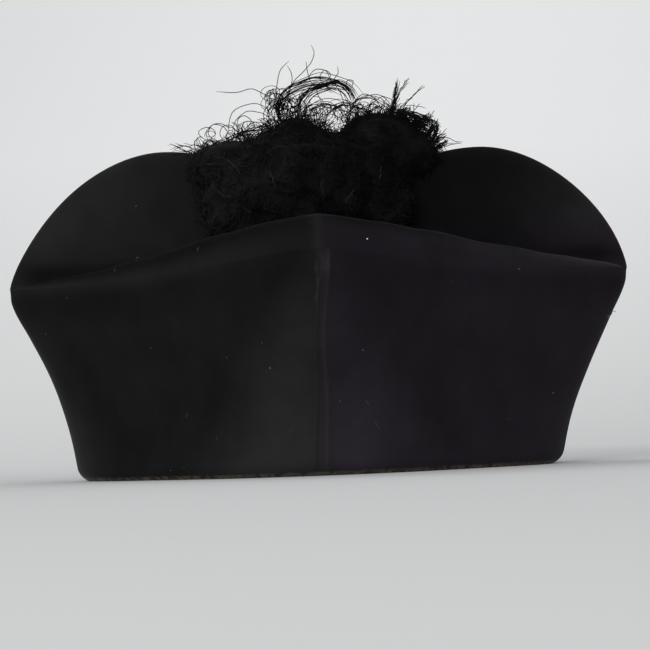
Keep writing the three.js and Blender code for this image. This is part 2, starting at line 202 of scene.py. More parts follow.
def bandRise(start, end, t):
    # how high the crest is above the crease: a cosine from the hornless corner, a sine between two horns
    extra = cap["plainBandRise"] - cap["hornedBandRise"]
    rise = cap["hornedBandRise"] + 0 * t
    if not start[2]:
        rise = rise + extra * np.cos(quarter * t)
    if not end[2]:
        rise = rise + extra * np.sin(quarter * t)
    if start[2] and end[2]:
        rise = rise + cap["backBandRise"] * np.sin(np.pi * t)
    return rise


def topHeight(start, end, t, share):
    # a parabola up the band to its crest, then a smooth step down to the middle
    inset = cap["bandInset"] / cap["creaseReach"]
    rise = bandRise(start, end, t)
    climb = np.clip((1 - share) / inset, 0, 1)
    sink = ease((1 - share - inset) / (1 - inset))
    base = creaseAt(t)
    return base + rise * (1 - (1 - climb) ** 2) - (base + rise - cap["hollowHeight"]) * sink


def unrest(points):
    # slow waves that move the cloth a little, fading to none at the rim that it stands on
    x, y, z = points[..., 0], points[..., 1], points[..., 2]
    weight = ease(z / cap["unrestAbove"])[..., None]
    waves = np.stack(
        [
            np.sin(61 * y + 47 * z + 0.6) + 0.6 * np.sin(118 * z - 83 * y + 2.1),
            np.sin(57 * x - 39 * z + 1.7) + 0.6 * np.sin(101 * x + 77 * z + 0.4),
            0.7 * np.sin(53 * x + 3.1) + 0.7 * np.sin(49 * y + 0.9),
        ],
        -1,
    )
    return points + cap["unrest"] * weight * waves


# Meshes
def makePiece(name, points, faces, replaced=(), attributes=None, sharp=50):
    # faces is one array of quads, or a list of arrays that each have faces of one size
    data = bpy.data.meshes.new(name)
    groups = faces if isinstance(faces, list) else [faces]
    sizes = np.concatenate([np.full(len(g), g.shape[1]) for g in groups])
    data.vertices.add(points.size // 3)
    data.vertices.foreach_set("co", np.asarray(points, np.float32).ravel())
    data.loops.add(int(sizes.sum()))
    data.loops.foreach_set("vertex_index", np.concatenate([g.ravel() for g in groups]).astype(np.int32))
    data.polygons.add(len(sizes))
    data.polygons.foreach_set("loop_start", (np.cumsum(sizes) - sizes).astype(np.int32))
    data.update(calc_edges=True)
    for key, values in (attributes or {}).items():
        layer = data.attributes.new(key, "FLOAT", "POINT")
        layer.data.foreach_set("value", np.asarray(values, np.float32).ravel())
    data.shade_smooth()
    data.set_sharp_from_angle(angle=math.radians(sharp))
    piece = bpy.data.objects.new(name, data)
    shown.objects.link(piece)
    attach(piece, "root")
    if replaced:
        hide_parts(*replaced)
    return piece


def gridFaces(rows, columns, first=0, flip=False):
    # quads between the neighbours of a grid of points, row by row
    i, j = np.meshgrid(np.arange(rows - 1), np.arange(columns - 1), indexing="ij")
    a = first + i * columns + j
    quads = np.stack([a, a + 1, a + columns + 1, a + columns], -1).reshape(-1, 4)
    return quads[:, ::-1] if flip else quads


def ringFaces(rows, columns):
    # the same for a grid whose last column meets its first
    i, j = np.meshgrid(np.arange(rows - 1) * columns, np.arange(columns), indexing="ij")
    after = (j + 1) % columns
    return np.stack([i + j, i + after, i + columns + after, i + columns + j], -1).reshape(-1, 4)


def closedSheet(outer, inner):
    # two grids of the same size, joined all round their edges
    rows, columns = outer.shape[:2]
    count = rows * columns
    index = np.arange(count).reshape(rows, columns)
    loop = np.concatenate([index[0, :-1], index[:-1, -1], index[-1, :0:-1], index[:0:-1, 0]])
    after = np.roll(loop, -1)
    edge = np.stack([after, loop, loop + count, after + count], -1)
    faces = np.concatenate([gridFaces(rows, columns), gridFaces(rows, columns, count, True), edge])
    return np.concatenate([outer.reshape(-1, 3), inner.reshape(-1, 3)]), faces


def facingOut(points, faces):
    # the signed volume tells whether the faces point in, and then they are turned
    a, b, c = (points[faces[:, k]] for k in range(3))
    d = points[faces[:, 3]]
    volume = np.sum(a * np.cross(b, c)) + np.sum(a * np.cross(c, d))
    return faces if volume > 0 else faces[:, ::-1]


# Walls
wall = {
    "across": 150,
    "up": 60,
    "crowding": 0.55,  # of the rows and columns towards the edges
    "bend": 4 * mm,  # the height below the crease in which it bends inwards
    "frontBend": 10 * mm,  # the same at the hornless corner
    "bendIn": 1.1 * mm,  # and how far
    "seamDip": 0.55 * mm,
    "seamWidth": 1.3 * mm,
    "seamStart": 5 * mm,  # how far under the crease seam and welt are full
    "seamDrift": 1.7 * mm,  # how far to the left the front seam runs at the rim
    "weltRise": 0.8 * mm,
    "bulge": 0.9 * mm,  # how far a horned corner stands out under the crease
    "bulgeWidth": 6 * mm,
    "bulgeTall": 16 * mm,
    "hem": 5.5 * mm,  # radius of the turned edge at the rim
    "hemTurn": 0.95,  # how much of the quarter circle it covers
    "creaseWear": (0.25, 3 * mm),  # amount and width
    "thread": (0.5 * mm, 0.3 * mm, 0.45 * mm),  # the bared thread's place beside the seam, sway and width
    "threadSpan": (0.87, 0.09),  # where up the wall it shows, and over how much of it
    "threadWear": (0.2, 1.6),  # all along, and where it shows
    "threadWaves": (50, 90),  # pace of its sway and of its wear
    "threadBreaks": (0.8, 0.6),  # its wear by those waves, in the middle and how far it goes up and down
    "weltHump": (0.25, 0.7, 0.5),  # where it is full, where it ends and over how much, in its widths
    "weltLine": (0.4, 0.72, 0.5 * mm),  # wear, place in the welt's widths, and width
    "weltPatch": (0.6, 6 * mm, 4.5 * mm),  # wear, distance under the crease and height
    "patchEdge": (1.05, 0.3),  # the patch's end and its soft part, in the welt's widths
    "cone": 1.15,  # width of the cone of painted light at a corner, in eighth turns of its radius
    "coneEdge": 1.3,  # how far it reaches in those widths, softly over the last one
    "coneLight": (0.12, 0.88),  # painted light at the crease, and what comes to it at the rim
    "hornedLight": 0.8,  # share of it at a horned corner
    "sideLight": (0.9, 0.47),  # share of it on walls that start at a horned corner, and on the other one
    "evenLight": (0.07, 0.2),  # painted light that the same two have all over
    "shade": (0.3, 0.72, 0.28),  # under the crease in front: amount, from where up, and over how much
}


def hemInset(height):
    # how far a circle that ends upright has turned in at a height
    below = np.clip(1 - height / wall["hem"], 0, 1) * wall["hemTurn"]
    return wall["hem"] * (1 - np.sqrt(1 - below**2))


def frontness(start, end, t):
    # 1 at the hornless corner, falling to 0 by the middle of the sides beside it
    near = 0 * t
    if not start[2]:
        near = near + 1 - ease(2 * t)
    if not end[2]:
        near = near + 1 - ease(2 * (1 - t))
    return near


def wallRelief(start, end, s, v, length, far):
    # what the outline is scaled by, and what stands out of it: seams dip and horned corners rise as
    # bells, the front corner's welt is a flat hump, and the wall bends in by the square of its nearness
    # to the crease
    down = (1 - v) * cap["creaseHeight"]
    lift = -wall["seamDip"] * (bell(length, wall["seamWidth"]) + bell(far, wall["seamWidth"]))
    if not start[2]:
        welt = smoothTable(v, weltUp, weltWidth)
        full, outer, soft = wall["weltHump"]
        hump = ease(length / (full * welt)) * (1 - ease((length - outer * welt) / (soft * welt)))
        lift = lift + wall["weltRise"] * hump
    lift = lift * ease(down / wall["seamStart"])
    horned = start[2] * bell(length, wall["bulgeWidth"]) + end[2] * bell(far, wall["bulgeWidth"])
    lift = lift + wall["bulge"] * horned * ease(down / wall["bulgeWidth"]) * bell(down, wall["bulgeTall"])
    bend = mix(wall["bend"], wall["frontBend"], frontness(start, end, s))
    fold = np.clip(1 - down / bend, 0, 1)
    return 1 - wall["bendIn"] / cap["creaseReach"] * fold**2 * (1 - horned), lift


def wallWear(start, end, s, v, length, far):
    # bells at the crease, along the thread beside the seam, and along the welt and on its upper part
    down = (1 - v) * cap["creaseHeight"]
    amount, width = wall["creaseWear"]
    wearAndHighlight = amount * bell(down, width) * (1 - frontness(start, end, s))
    if not end[2]:
        aside, sway, width = wall["thread"]
        middle, span = wall["threadSpan"]
        least, most = wall["threadWear"]
        swayPace, wearPace = wall["threadWaves"]
        even, uneven = wall["threadBreaks"]
        bared = least + most * bell(v - middle, span) * ease(even + uneven * np.sin(wearPace * v))
        wearAndHighlight = wearAndHighlight + bared * bell(far - aside - sway * np.sin(swayPace * v), width)
    if not start[2]:
        welt = smoothTable(v, weltUp, weltWidth)
        amount, middle, width = wall["weltLine"]
        wearAndHighlight = wearAndHighlight + amount * bell(length - middle * welt, width)
        amount, middle, width = wall["weltPatch"]
        outer, soft = wall["patchEdge"]
        wearAndHighlight = wearAndHighlight + amount * bell(down - middle, width) * ease((outer * welt - length) / (soft * welt))
    return wearAndHighlight


def wallPaintedLight(start, end, v, length, far, radius):
    # painted light: the rounded part of each corner is paler, in a cone that widens towards the rim, and
    # each wall is a little paler all over, the front right one most
    cone = wall["cone"] * quarter / 2 * radius
    weight = ease(wall["coneEdge"] - length / cone) * (wall["hornedLight"] if start[2] else 1)
    weight = weight + ease(wall["coneEdge"] - far / cone) * (wall["hornedLight"] if end[2] else 1)
    least, more = wall["coneLight"]
    kind = 0 if start[2] else 1
    return weight * (least + more * (1 - v)) * wall["sideLight"][kind] + wall["evenLight"][kind]


def wallShade(start, end, s, v):
    # smoothly darker up to the crease, on the two front walls
    amount, low, span = wall["shade"]
    return (0 if start[2] and end[2] else amount) * ease((v - low) / span) + 0 * s


def wallSurface(start, end, inset):
    # outline between two corners, from the rim's to the crease's, with the profile of the table, and
    # turned aside in front by a fourth power of the nearness to the seam
    v = crowd(np.linspace(0, 1, wall["up"]), wall["crowding"])[:, None]
    s = crowd(np.linspace(0, 1, wall["across"]), wall["crowding"])[None, :]
    flare = smoothTable(v, wallUp, wallOut)
    reach = mix(cap["rimReach"], cap["creaseReach"], flare) - inset - hemInset(v * cap["creaseHeight"])
    radius = mix(cap["rimCornerRadius"], cap["creaseCornerRadius"], v) - inset
    drift = wall["seamDrift"] * (1 - v) / reach * ((not start[2]) * (1 - s) ** 4 + (not end[2]) * s**4)
    turn = quarter * s - drift
    base = outlineReach(reach, radius, turn)
    length, far = s * reach * quarter, (1 - s) * reach * quarter
    if inset == 0:
        scale, lift = wallRelief(start, end, s, v, length, far)
        base = base * scale + lift
    points = unrest(place(start, end, turn + 0 * v, base, v * creaseAt(s)))
    wearAndHighlight = wallWear(start, end, s, v, length, far)
    return points, wearAndHighlight, wallPaintedLight(start, end, v, length, far, radius), wallShade(start, end, s, v)


def makeWall(name, node, start, end):
    # outer face and the inner one, joined round their edges
    outer, *marks = wallSurface(start, end, 0)
    inner = wallSurface(start, end, cap["wallThickness"])[0]
    points, faces = closedSheet(outer, inner)
    return makePiece(name, points, facingOut(points, faces), [node], bothSides(marks))


def bothSides(marks):
    # wear and painted highlights, painted light and painted shade of the outer face, and none on the
    # inner face
    values = zip(("wearAndHighlight", "weight", "shade"), marks)
    return {key: np.concatenate([np.clip(v, 0, 1).ravel(), 0 * v.ravel()]) for key, v in values}


clothPieces = [
    makeWall("wallFrontRight", "wall_front_right", corners[0], corners[1]),
    makeWall("wallBackRight", "wall_back_right", corners[1], corners[2]),
    makeWall("wallBackLeft", "wall_back_left", corners[2], corners[3]),
    makeWall("wallFrontLeft", "wall_front_left", corners[3], corners[0]),
]
print("walls made")


# Top
top = {
    "down": 66,  # rows from the crease to the middle
    "across": 96,
    "downCrowding": 1.35,  # power that crowds the rows to the crease
    "acrossCrowding": 0.5,
    "hole": (5 * mm, 7.5 * mm),  # reach of the innermost row, in front and behind
    "underHorn": 3.0 * mm,  # the edge lies this far from a horn's axis, under its foot
    "ridge": (0.45 * mm, 1.6 * mm),  # rise and width of the sewn ridge at the hornless corner
    "ridgeStart": 5 * mm,  # how far in from the crease it is full
    "pucker": (0.3 * mm, 5 * mm),  # rise and width of the waves at the crest
    "puckerPace": (5.5 * mm, 3, 31 * mm),  # their length for a radian, its change, and over what length
    "ridgeWear": 0.2,
    "bandLight": (0.2, 0.1),  # painted light on the band, at the sides and in front
    "softShade": (0.05, 0.5, 0.75),  # left: start up the band, and span at the side and in front
    "crispShade": (0.4, 0.45, 0.75),  # right: start up the band, span, and share of it at the side
    "ridgeShade": (0.7, 5 * mm),  # how much less there is of it on the ridge, and how wide
    "shadeEnd": (1.3, 1.5),  # from the crease to where it fades out, and over how much, in band widths
}


def topShade(start, end, t, inset, fromRidge, onBand):
    # the crest is dark, softly so left of the hornless corner, and less on the ridge
    near = frontness(start, end, t)
    flat = np.clip(inset / cap["bandInset"], 0, 1)
    if start[2]:
        low, side, front = top["softShade"]
        shade = ease((flat - low) / mix(side, front, near))
    else:
        low, span, side = top["crispShade"]
        shade = ease((flat - low) / span) * mix(side, 1, near)
    less, width = top["ridgeShade"]
    inner, soft = top["shadeEnd"]
    shade = shade * (1 - less * bell(fromRidge, width) * onBand)
    shade = shade * (1 - ease((inset / cap["bandInset"] - inner) / soft))
    return 0 * shade if start[2] and end[2] else shade


def topSurface(start, end, under):
    # outlines of one shape, scaled down from the crease to the middle, at the height of topHeight, with a
    # bell for the ridge and sine waves at the crest
    behind = start[2] and end[2]
    w = np.linspace(0, 1, top["down"])[:, None] ** top["downCrowding"]
    s = crowd(np.linspace(0, 1, top["across"]), top["acrossCrowding"])[None, :]
    bendIn = wall["bendIn"] / cap["creaseReach"]
    share = mix(1 - bendIn, top["hole"][behind] / cap["creaseReach"], w)
    reach, radius = cap["creaseReach"] * share, cap["creaseCornerRadius"] * share
    first = turnAside(reach, radius, top["underHorn"]) if start[2] else 0 * share
    last = quarter - (turnAside(reach, radius, top["underHorn"]) if end[2] else 0 * share)
    turn = mix(first, last, s)
    t = turn / quarter
    height = topHeight(start, end, t, np.minimum(share + bendIn, 1))
    inset = cap["creaseReach"] * (1 - share)
    flat = np.clip(inset / cap["bandInset"], 0, 1)
    onBand = 1 - ease((inset - 0.5 * cap["bandInset"]) / cap["bandInset"])
    away = 9  # more than any turn
    fromRidge = reach * np.minimum(away if start[2] else turn, away if end[2] else quarter - turn)
    ridgeRise, ridgeWidth = top["ridge"]
    ridge = bell(fromRidge, ridgeWidth) * onBand
    if under:
        thick = cap["topThickness"]
        reach, radius = reach - thick * (1 - flat), np.maximum(radius - thick * (1 - flat), 0)
        height = height - thick * flat
    else:
        rise, width = top["pucker"]
        pace, change, slowPace = top["puckerPace"]
        waves = np.sin(reach * turn / pace + change * np.sin(reach * turn / slowPace))
        height = height + ridgeRise * ridge * ease(inset / top["ridgeStart"])
        height = height + rise * waves * bell(inset - cap["bandInset"], width) * t * (1 - t) * 4
    points = unrest(place(start, end, turn, outlineReach(reach, radius, turn), height))
    wearAndHighlight = top["ridgeWear"] * ridge + 0 * t
    # painted light on the band
    weight = onBand * mix(*top["bandLight"], frontness(start, end, t))
    return points, wearAndHighlight, weight, topShade(start, end, t, inset, fromRidge, onBand)


def makeTop(name, node, quarters):
    # one or two neighbouring quarters, their upper and under side joined round the edges
    sides = [[topSurface(*pair, under) for pair in quarters] for under in (False, True)]

    def joined(side, k):
        return np.concatenate([g[k] if n == 0 else g[k][:, 1:] for n, g in enumerate(side)], 1)

    points, faces = closedSheet(joined(sides[0], 0), joined(sides[1], 0))
    attributes = bothSides([joined(sides[0], k) for k in (1, 2, 3)])
    return makePiece(name, points, facingOut(points, faces), [node], attributes)


front, right, back, left = corners
clothPieces += [
    makeTop("topFront", "top_front", [(left, front), (front, right)]),
    makeTop("topBackRight", "top_back_right", [(right, back)]),
    makeTop("topBackLeft", "top_back_left", [(back, left)]),
]
print("top made")


# Horns
horn = {
    "along": 110,
    "around": 26,  # rows on each face
    "inner": 2.5 * mm,  # how far from the cap's axis it starts
    "edgeAbove": 0.3 * mm,  # its edge at the crease is this far above it
    "edgePowers": (1.95, 1 / 1.4),  # of the curve from the peak out to the crease
    "leastHeight": 1.2 * mm,
    "sunk": (0.3 * mm, 1.5 * mm),  # how deep its foot is in the top, and at the crease
    "outerEnd": (0.9, 0.1),  # where along it the outer end begins, and over how much
    "flatRows": (0.7, 1.6),  # share of the rows below the rounding, and the power that crowds them
    "edgeRound": 1.9 * mm,  # how far down from its edge a horn is rounded
    "taper": 0.3,  # how much thinner it is at its edge
    "foot": 1.12 * mm,  # the curve into the top falls to a third over this height
    "belly": 0.5 * mm,
    "bend": (1.4 * mm, 2.6, 30 * mm),  # sideways wave along it: size, half waves, and its full height
    # a painted highlight along its edge: amount and width
    "edgeHighlight": (0.45, 1.6 * mm),
    "footWear": (0.25, 3 * mm),
    "weight": (0.35, 0.3, 0.6, 25 * mm),  # painted light to its outer end: amount, start and span along it, and height
    "evenLight": 0.22,  # painted light all over the left and the back horn
    "crestShade": (0.75, 3 * mm, 7 * mm),  # close to the crest: amount, full height, and its soft end
    "pompomShade": (0.7, 0.5, 0.45),  # right horn: amount, and start and span of its end along it
}


def hornEdge(corner, along):
    # a rounded power curve from the peak down to the crease, and a parabola from the peak inwards
    rise = cap["hornRise"] * corner[3]
    out = np.clip((along - cap["hornPeakReach"]) / (cap["creaseReach"] - cap["hornPeakReach"]), 0, 1)
    fall = cap["hornInnerDrop"] * np.clip(1 - along / cap["hornPeakReach"], 0, 1) ** 2
    outPower, risePower = horn["edgePowers"]
    return cap["creaseHeight"] + horn["edgeAbove"] + rise * (1 - out**outPower) ** risePower - fall


def hornMarks(n, end, share, up, tall):
    # a painted highlight in a bell at its edge and wear in one at its foot, painted light towards its
    # outer end, and painted shade close to the crest, the right horn also close to the pompom
    # a painted highlight along the edge
    amount, width = horn["edgeHighlight"]
    wearAndHighlight = amount * bell(tall - up, width)
    amount, width = horn["footWear"]
    wearAndHighlight = wearAndHighlight + amount * bell(up, width)
    # painted light towards the outer end, and on the left and the back horn
    amount, low, span, height = horn["weight"]
    weight = ease((share - low) / span) * ease(up / height) * amount + horn["evenLight"] * (n != 1)
    if end is not corners[0]:
        return wearAndHighlight, weight, 0 * up
    amount, height, span = horn["crestShade"]
    low, ending = horn["outerEnd"]
    shade = amount * (1 - ease((up - height) / span)) * (1 - ease((share - low) / ending))
    if n == 1:
        amount, low, span = horn["pompomShade"]
        shade = np.maximum(shade, amount * (1 - ease((share - low) / span)) + 0 * up)
    return wearAndHighlight, weight, shade


def hornFace(n, sign):
    # stations along the corner's axis, and on each a face from its foot to its edge, rounded on top by a
    # quarter circle, thinner with height, and curved out into the top at its foot
    corner, after, before = corners[n], corners[(n + 1) % 4], corners[(n + 3) % 4]
    end = after if sign > 0 else before
    share = np.sin(quarter * np.linspace(0, 1, horn["along"]))[:, None]
    c = np.linspace(0, 1, horn["around"])[None, :]
    half, inner = cap["hornFootWidth"] / 2, horn["inner"]
    footEnd = alongCorner(cap["creaseReach"] - wall["bendIn"], cap["creaseCornerRadius"], half)
    footAlong = mix(inner, footEnd, share)
    foot = topHeight(corner, end, half / (footAlong + half), np.minimum(outlineShare(footAlong, half), 1))
    low, ending = horn["outerEnd"]
    foot = foot - mix(*horn["sunk"], ease((share - low) / ending))
    edge = np.maximum(hornEdge(corner, mix(inner, cap["creaseReach"], share)), foot + horn["leastHeight"])
    tall = edge - foot
    flat, power = horn["flatRows"]
    straight = np.clip(1 - horn["edgeRound"] / tall, 0.2, 1)
    swing = quarter * np.clip((c - flat) / (1 - flat), 0, 1)
    up = tall * (np.minimum(c / flat, 1) ** power * straight + (1 - straight) * np.sin(swing))
    thick = cap["hornBaseThickness"] / 2 * (1 - horn["taper"] * up / cap["hornRise"])
    thick = thick + horn["belly"] * np.sin(np.pi * np.clip(up / tall, 0, 1)) * np.sin(np.pi * share)
    aside = thick * np.cos(swing) + (half - cap["hornBaseThickness"] / 2) * np.exp(-up / horn["foot"])
    along = mix(inner, alongCorner(cap["creaseReach"], cap["creaseCornerRadius"], aside), share)
    size, pace, height = horn["bend"]
    wave = size * np.sin(pace * np.pi * share + n) * ease(up / height) * (1 - share**4)
    across = aside + sign * wave
    height = foot + up
    lean = cap["crownLean"] * (height / cap["creaseHeight"] - 1)
    (ax, ay), (bx, by) = corner[1], end[1]
    points = np.stack([ax * along + bx * across + lean, ay * along + by * across, height], -1)
    return unrest(points), *hornMarks(n, end, share, up, tall)


def makeHorn(name, node, n):
    # the two faces meet along the edge, and a strip under the foot and fans at both ends close it
    faces = [hornFace(n, sign) for sign in (1, -1)]
    one, other = faces[0][0], faces[1][0][:, ::-1]
    ring = np.concatenate([one, other[:, 1:]], 1)
    attributes = {
        key: np.clip(np.concatenate([faces[0][k], faces[1][k][:, -2::-1]], 1), 0, 1).ravel()
        for k, key in ((1, "wearAndHighlight"), (2, "weight"), (3, "shade"))
    }
    rows, columns = ring.shape[:2]
    index = np.arange(rows * columns).reshape(rows, columns)
    underFoot = np.stack([index[:-1, 0], index[1:, 0], index[1:, -1], index[:-1, -1]], -1)
    quads = [gridFaces(rows, columns), underFoot]
    half = columns // 2
    for row, way in ((0, 1), (rows - 1, -1)):  # its two ends
        a, b = index[row, :half], index[row, :half:-1][:half]
        quads.append(np.stack([a[:-1], b[:-1], b[1:], a[1:]], -1)[:, ::way])
    caps = np.array([
        [index[0, half - 1], index[0, half + 1], index[0, half]],
        [index[-1, half], index[-1, half + 1], index[-1, half - 1]],
    ])
    points, quads = ring.reshape(-1, 3), np.concatenate(quads)
    turned = facingOut(points, quads)
    caps = caps if turned is quads else caps[:, ::-1]
    return makePiece(name, points, [turned, caps], [node], attributes)


clothPieces += [
    makeHorn("hornRight", "horn_right", 1),
    makeHorn("hornBack", "horn_back", 2),
    makeHorn("hornLeft", "horn_left", 3),
]
print("horns made")


# Materials
def newMaterial(name, finish):
    # the material, its nodes and its shader, which has the finish's values
    material = bpy.data.materials.new(name)
    material.use_nodes = True
    shader = material.node_tree.nodes["Principled BSDF"]
    for key, value in finish.items():
        shader.inputs[key].default_value = value
    return material, material.node_tree, shader


def put(socket, value):
    # a plain value, or a link from another node's socket
    if isinstance(value, bpy.types.NodeSocket):
        socket.id_data.links.new(value, socket)
    else:
        socket.default_value = value


def add(tree, kind, *values, **named):
    # a node whose first sockets get the values, and the named sockets and settings theirs
    node = tree.nodes.new("ShaderNode" + kind)
    for key, value in named.items():
        if key in node.inputs:
            put(node.inputs[key], value)
        else:
            setattr(node, key, value)
    for socket, value in zip(node.inputs, values):
        put(socket, value)
    return node


def objectPlace(tree):
    return add(tree, "TexCoord").outputs["Object"]


def attribute(tree, name):
    return add(tree, "Attribute", attribute_name=name).outputs["Fac"]


def noise(tree, where, settings):
    return add(tree, "TexNoise", Vector=where, **settings).outputs["Fac"]


def reckon(tree, operation, *values):
    return add(tree, "Math", *values, operation=operation).outputs[0]


def times(tree, one, other):
    return reckon(tree, "MULTIPLY", one, other)


def spread(tree, value, limits):
    # a value as a share of the way from the first limit to the second
    return add(tree, "MapRange", value, *limits).outputs[0]


def over(tree, amount, low, high, blend="MIX"):
    # one colour laid over another by an amount
    node = add(tree, "Mix", amount, data_type="RGBA", blend_type=blend)
    put(node.inputs[6], low)
    put(node.inputs[7], high)
    return node.outputs[2]


def ramp(tree, value, stops):
    # a colour by a value, from stops that each say a value and its colour
    node = add(tree, "ValToRGB", value)
    elements = node.color_ramp.elements
    for element, stop in zip(elements, (stops[0], stops[-1])):
        element.position, element.color = stop
    for spot, colour in stops[1:-1]:
        elements.new(spot).color = colour
    return node.outputs["Color"]


def bump(tree, height, settings):
    return add(tree, "Bump", Height=height, **settings).outputs["Normal"]


# Cloth
cloth = {
    "tones": [(0.35, (0.0046, 0.0045, 0.0047, 1)), (0.75, (0.0085, 0.0083, 0.0086, 1))],
    # colour of the painted light
    "paintedLight": (0.02, 0.0195, 0.02, 1),
    # colour of wear and of painted highlights
    "worn": (0.034, 0.033, 0.0325, 1),
    "hem": (0.1, 0.08, 0.062, 1),
    "hemUp": (1.8 * mm, 0.5 * mm),  # the hem is worn from this height down to this one
    "hemPatches": (0.38, 0.62),
    "lint": (0.05, 0.05, 0.048, 1),
    "paintedRightLight": (1.15, 0.98, 1.24, 1),  # painted light: the right half lighter and tinted purple against the left
    # the painted light on the right comes in across the middle between these places, and ends up between
    # these heights
    "rightLightAcross": (-3 * mm, 3 * mm),
    "rightLightUp": (110 * mm, 90 * mm),
    "deep": (0, 0, 0, 1),  # mixed in where the cloth is in the pompom's and the horns' shade
    "deepest": 0.75,
    "mottle": {"Scale": 38, "Detail": 5, "Roughness": 0.6},
    "mottleLight": 0.3,  # added to the mottle where it scales the painted light
    "fibre": {"Scale": 1500, "Detail": 3, "Roughness": 0.7},
    "nap": {"Scale": 420, "Detail": 4, "Roughness": 0.65},
    "streak": {"Scale": 260, "Detail": 3, "Roughness": 0.6},
    "streakStretch": (1, 1, 0.07),
    "streakShare": 0.15,  # of the tone, the mottle has the rest
    "specks": 85,
    "speckSize": (0.04, 0.015),
    "bump": {"Strength": 0.35, "Distance": 0.5 * mm},
    "fibreBump": 0.5,  # against the nap's
    "sheen": (0.07, -0.0595),  # in the open, and what comes to it in the shade
    "finish": {
        "Roughness": 1,
        "Specular IOR Level": 0.04,
        "Sheen Roughness": 0.3,
        "Sheen Tint": (0.8, 0.8, 0.85, 1),
    },
}


def makeCloth():
    # mottled black felt, paler by painted light and by wear and painted highlights, darker by painted
    # shade, lighter and purple on the right by painted light, with a worn hem and lint
    material, tree, shader = newMaterial("blackFelt", cloth["finish"])
    where = objectPlace(tree)
    mottle, fibre, nap = (noise(tree, where, cloth[key]) for key in ("mottle", "fibre", "nap"))
    tall = add(tree, "Mapping", Vector=where, Scale=cloth["streakStretch"])
    streak = noise(tree, tall.outputs[0], cloth["streak"])
    specks = add(tree, "TexVoronoi", Vector=where, Scale=cloth["specks"]).outputs["Distance"]
    x, _, z = add(tree, "SeparateXYZ", where).outputs
    weight, worn, shade = (attribute(tree, key) for key in ("weight", "wearAndHighlight", "shade"))
    share = cloth["streakShare"]
    tone = reckon(tree, "MULTIPLY_ADD", streak, share, times(tree, mottle, 1 - share))
    colour = ramp(tree, tone, cloth["tones"])
    # painted light, uneven with the mottle
    paintedLight = times(tree, weight, reckon(tree, "ADD", mottle, cloth["mottleLight"]))
    colour = over(tree, paintedLight, colour, cloth["paintedLight"])
    colour = over(tree, times(tree, worn, nap), colour, cloth["worn"])
    # painted light on the right half, fading out between 90 and 110 mm up
    rightLit = times(tree, spread(tree, x, cloth["rightLightAcross"]), spread(tree, z, cloth["rightLightUp"]))
    colour = over(tree, rightLit, colour, cloth["paintedRightLight"], "MULTIPLY")
    colour = over(tree, times(tree, shade, cloth["deepest"]), colour, cloth["deep"])
    hem = times(tree, spread(tree, z, cloth["hemUp"]), spread(tree, nap, cloth["hemPatches"]))
    colour = over(tree, hem, colour, cloth["hem"])
    colour = over(tree, spread(tree, specks, cloth["speckSize"]), colour, cloth["lint"])
    put(shader.inputs["Base Color"], colour)
    height = reckon(tree, "MULTIPLY_ADD", fibre, cloth["fibreBump"], nap)
    put(shader.inputs["Normal"], bump(tree, height, cloth["bump"]))
    sheen, inShade = cloth["sheen"]
    put(shader.inputs["Sheen Weight"], reckon(tree, "MULTIPLY_ADD", shade, inShade, sheen))
    return material


blackFelt = makeCloth()
for piece in clothPieces:
    piece.data.materials.append(blackFelt)
print("cloth made")


# Sweatband
band = {
    "low": 1.5 * mm,
    "tall": 32 * mm,
    "thickness": 1.2 * mm,
    "slack": 0.8 * mm,
    "up": 14,
    "across": 60,
    "tones": [(0, (0.022, 0.013, 0.009, 1)), (1, (0.06, 0.036, 0.025, 1))],
    "mottle": {"Scale": 70, "Detail": 4},
    "grain": 900,
    "bump": {"Strength": 0.3, "Distance": 0.3 * mm},
    "finish": {"Roughness": 0.55},
}


def bandSurface(inset):
    # the walls' section inside them, from just above the rim, all the way round
    v = (band["low"] + band["tall"] * np.linspace(0, 1, band["up"])[:, None]) / cap["creaseHeight"]
    s = np.linspace(0, 1, band["across"], endpoint=False)[None, :]
    reach = mix(cap["rimReach"], cap["creaseReach"], smoothTable(v, wallUp, wallOut)) - inset
    radius = mix(cap["rimCornerRadius"], cap["creaseCornerRadius"], v) - inset
    reach = reach - hemInset(v * cap["creaseHeight"])
    turn = quarter * s + 0 * v
    sides = [
        place(corners[n], corners[(n + 1) % 4], turn, outlineReach(reach, radius, turn), v * creaseAt(s))
        for n in range(4)
    ]
    return np.concatenate(sides, 1)


def makeSweatband():
    # an outer and an inner ring of the same section, joined along their low and high edges
    outset = cap["wallThickness"] + band["slack"]
    sides = [bandSurface(outset), bandSurface(outset + band["thickness"])]
    rows, columns = sides[0].shape[:2]
    outer, shift = ringFaces(rows, columns), rows * columns
    j, last = np.arange(columns), (rows - 1) * columns
    after = (j + 1) % columns
    low = np.stack([after, j, j + shift, after + shift], -1)
    high = np.stack([last + j, last + after, last + after + shift, last + j + shift], -1)
    points = np.concatenate([side.reshape(-1, 3) for side in sides])
    faces = facingOut(points, np.concatenate([outer, outer[:, ::-1] + shift, low, high]))
    piece = makePiece("leatherBand", points, faces, ["sweatband"])
    material, tree, shader = newMaterial("brownLeather", band["finish"])
    where = objectPlace(tree)
    put(shader.inputs["Base Color"], ramp(tree, noise(tree, where, band["mottle"]), band["tones"]))
    grain = add(tree, "TexVoronoi", Vector=where, Scale=band["grain"]).outputs["Distance"]
    put(shader.inputs["Normal"], bump(tree, grain, band["bump"]))
    piece.data.materials.append(material)


makeSweatband()
print("sweatband made")


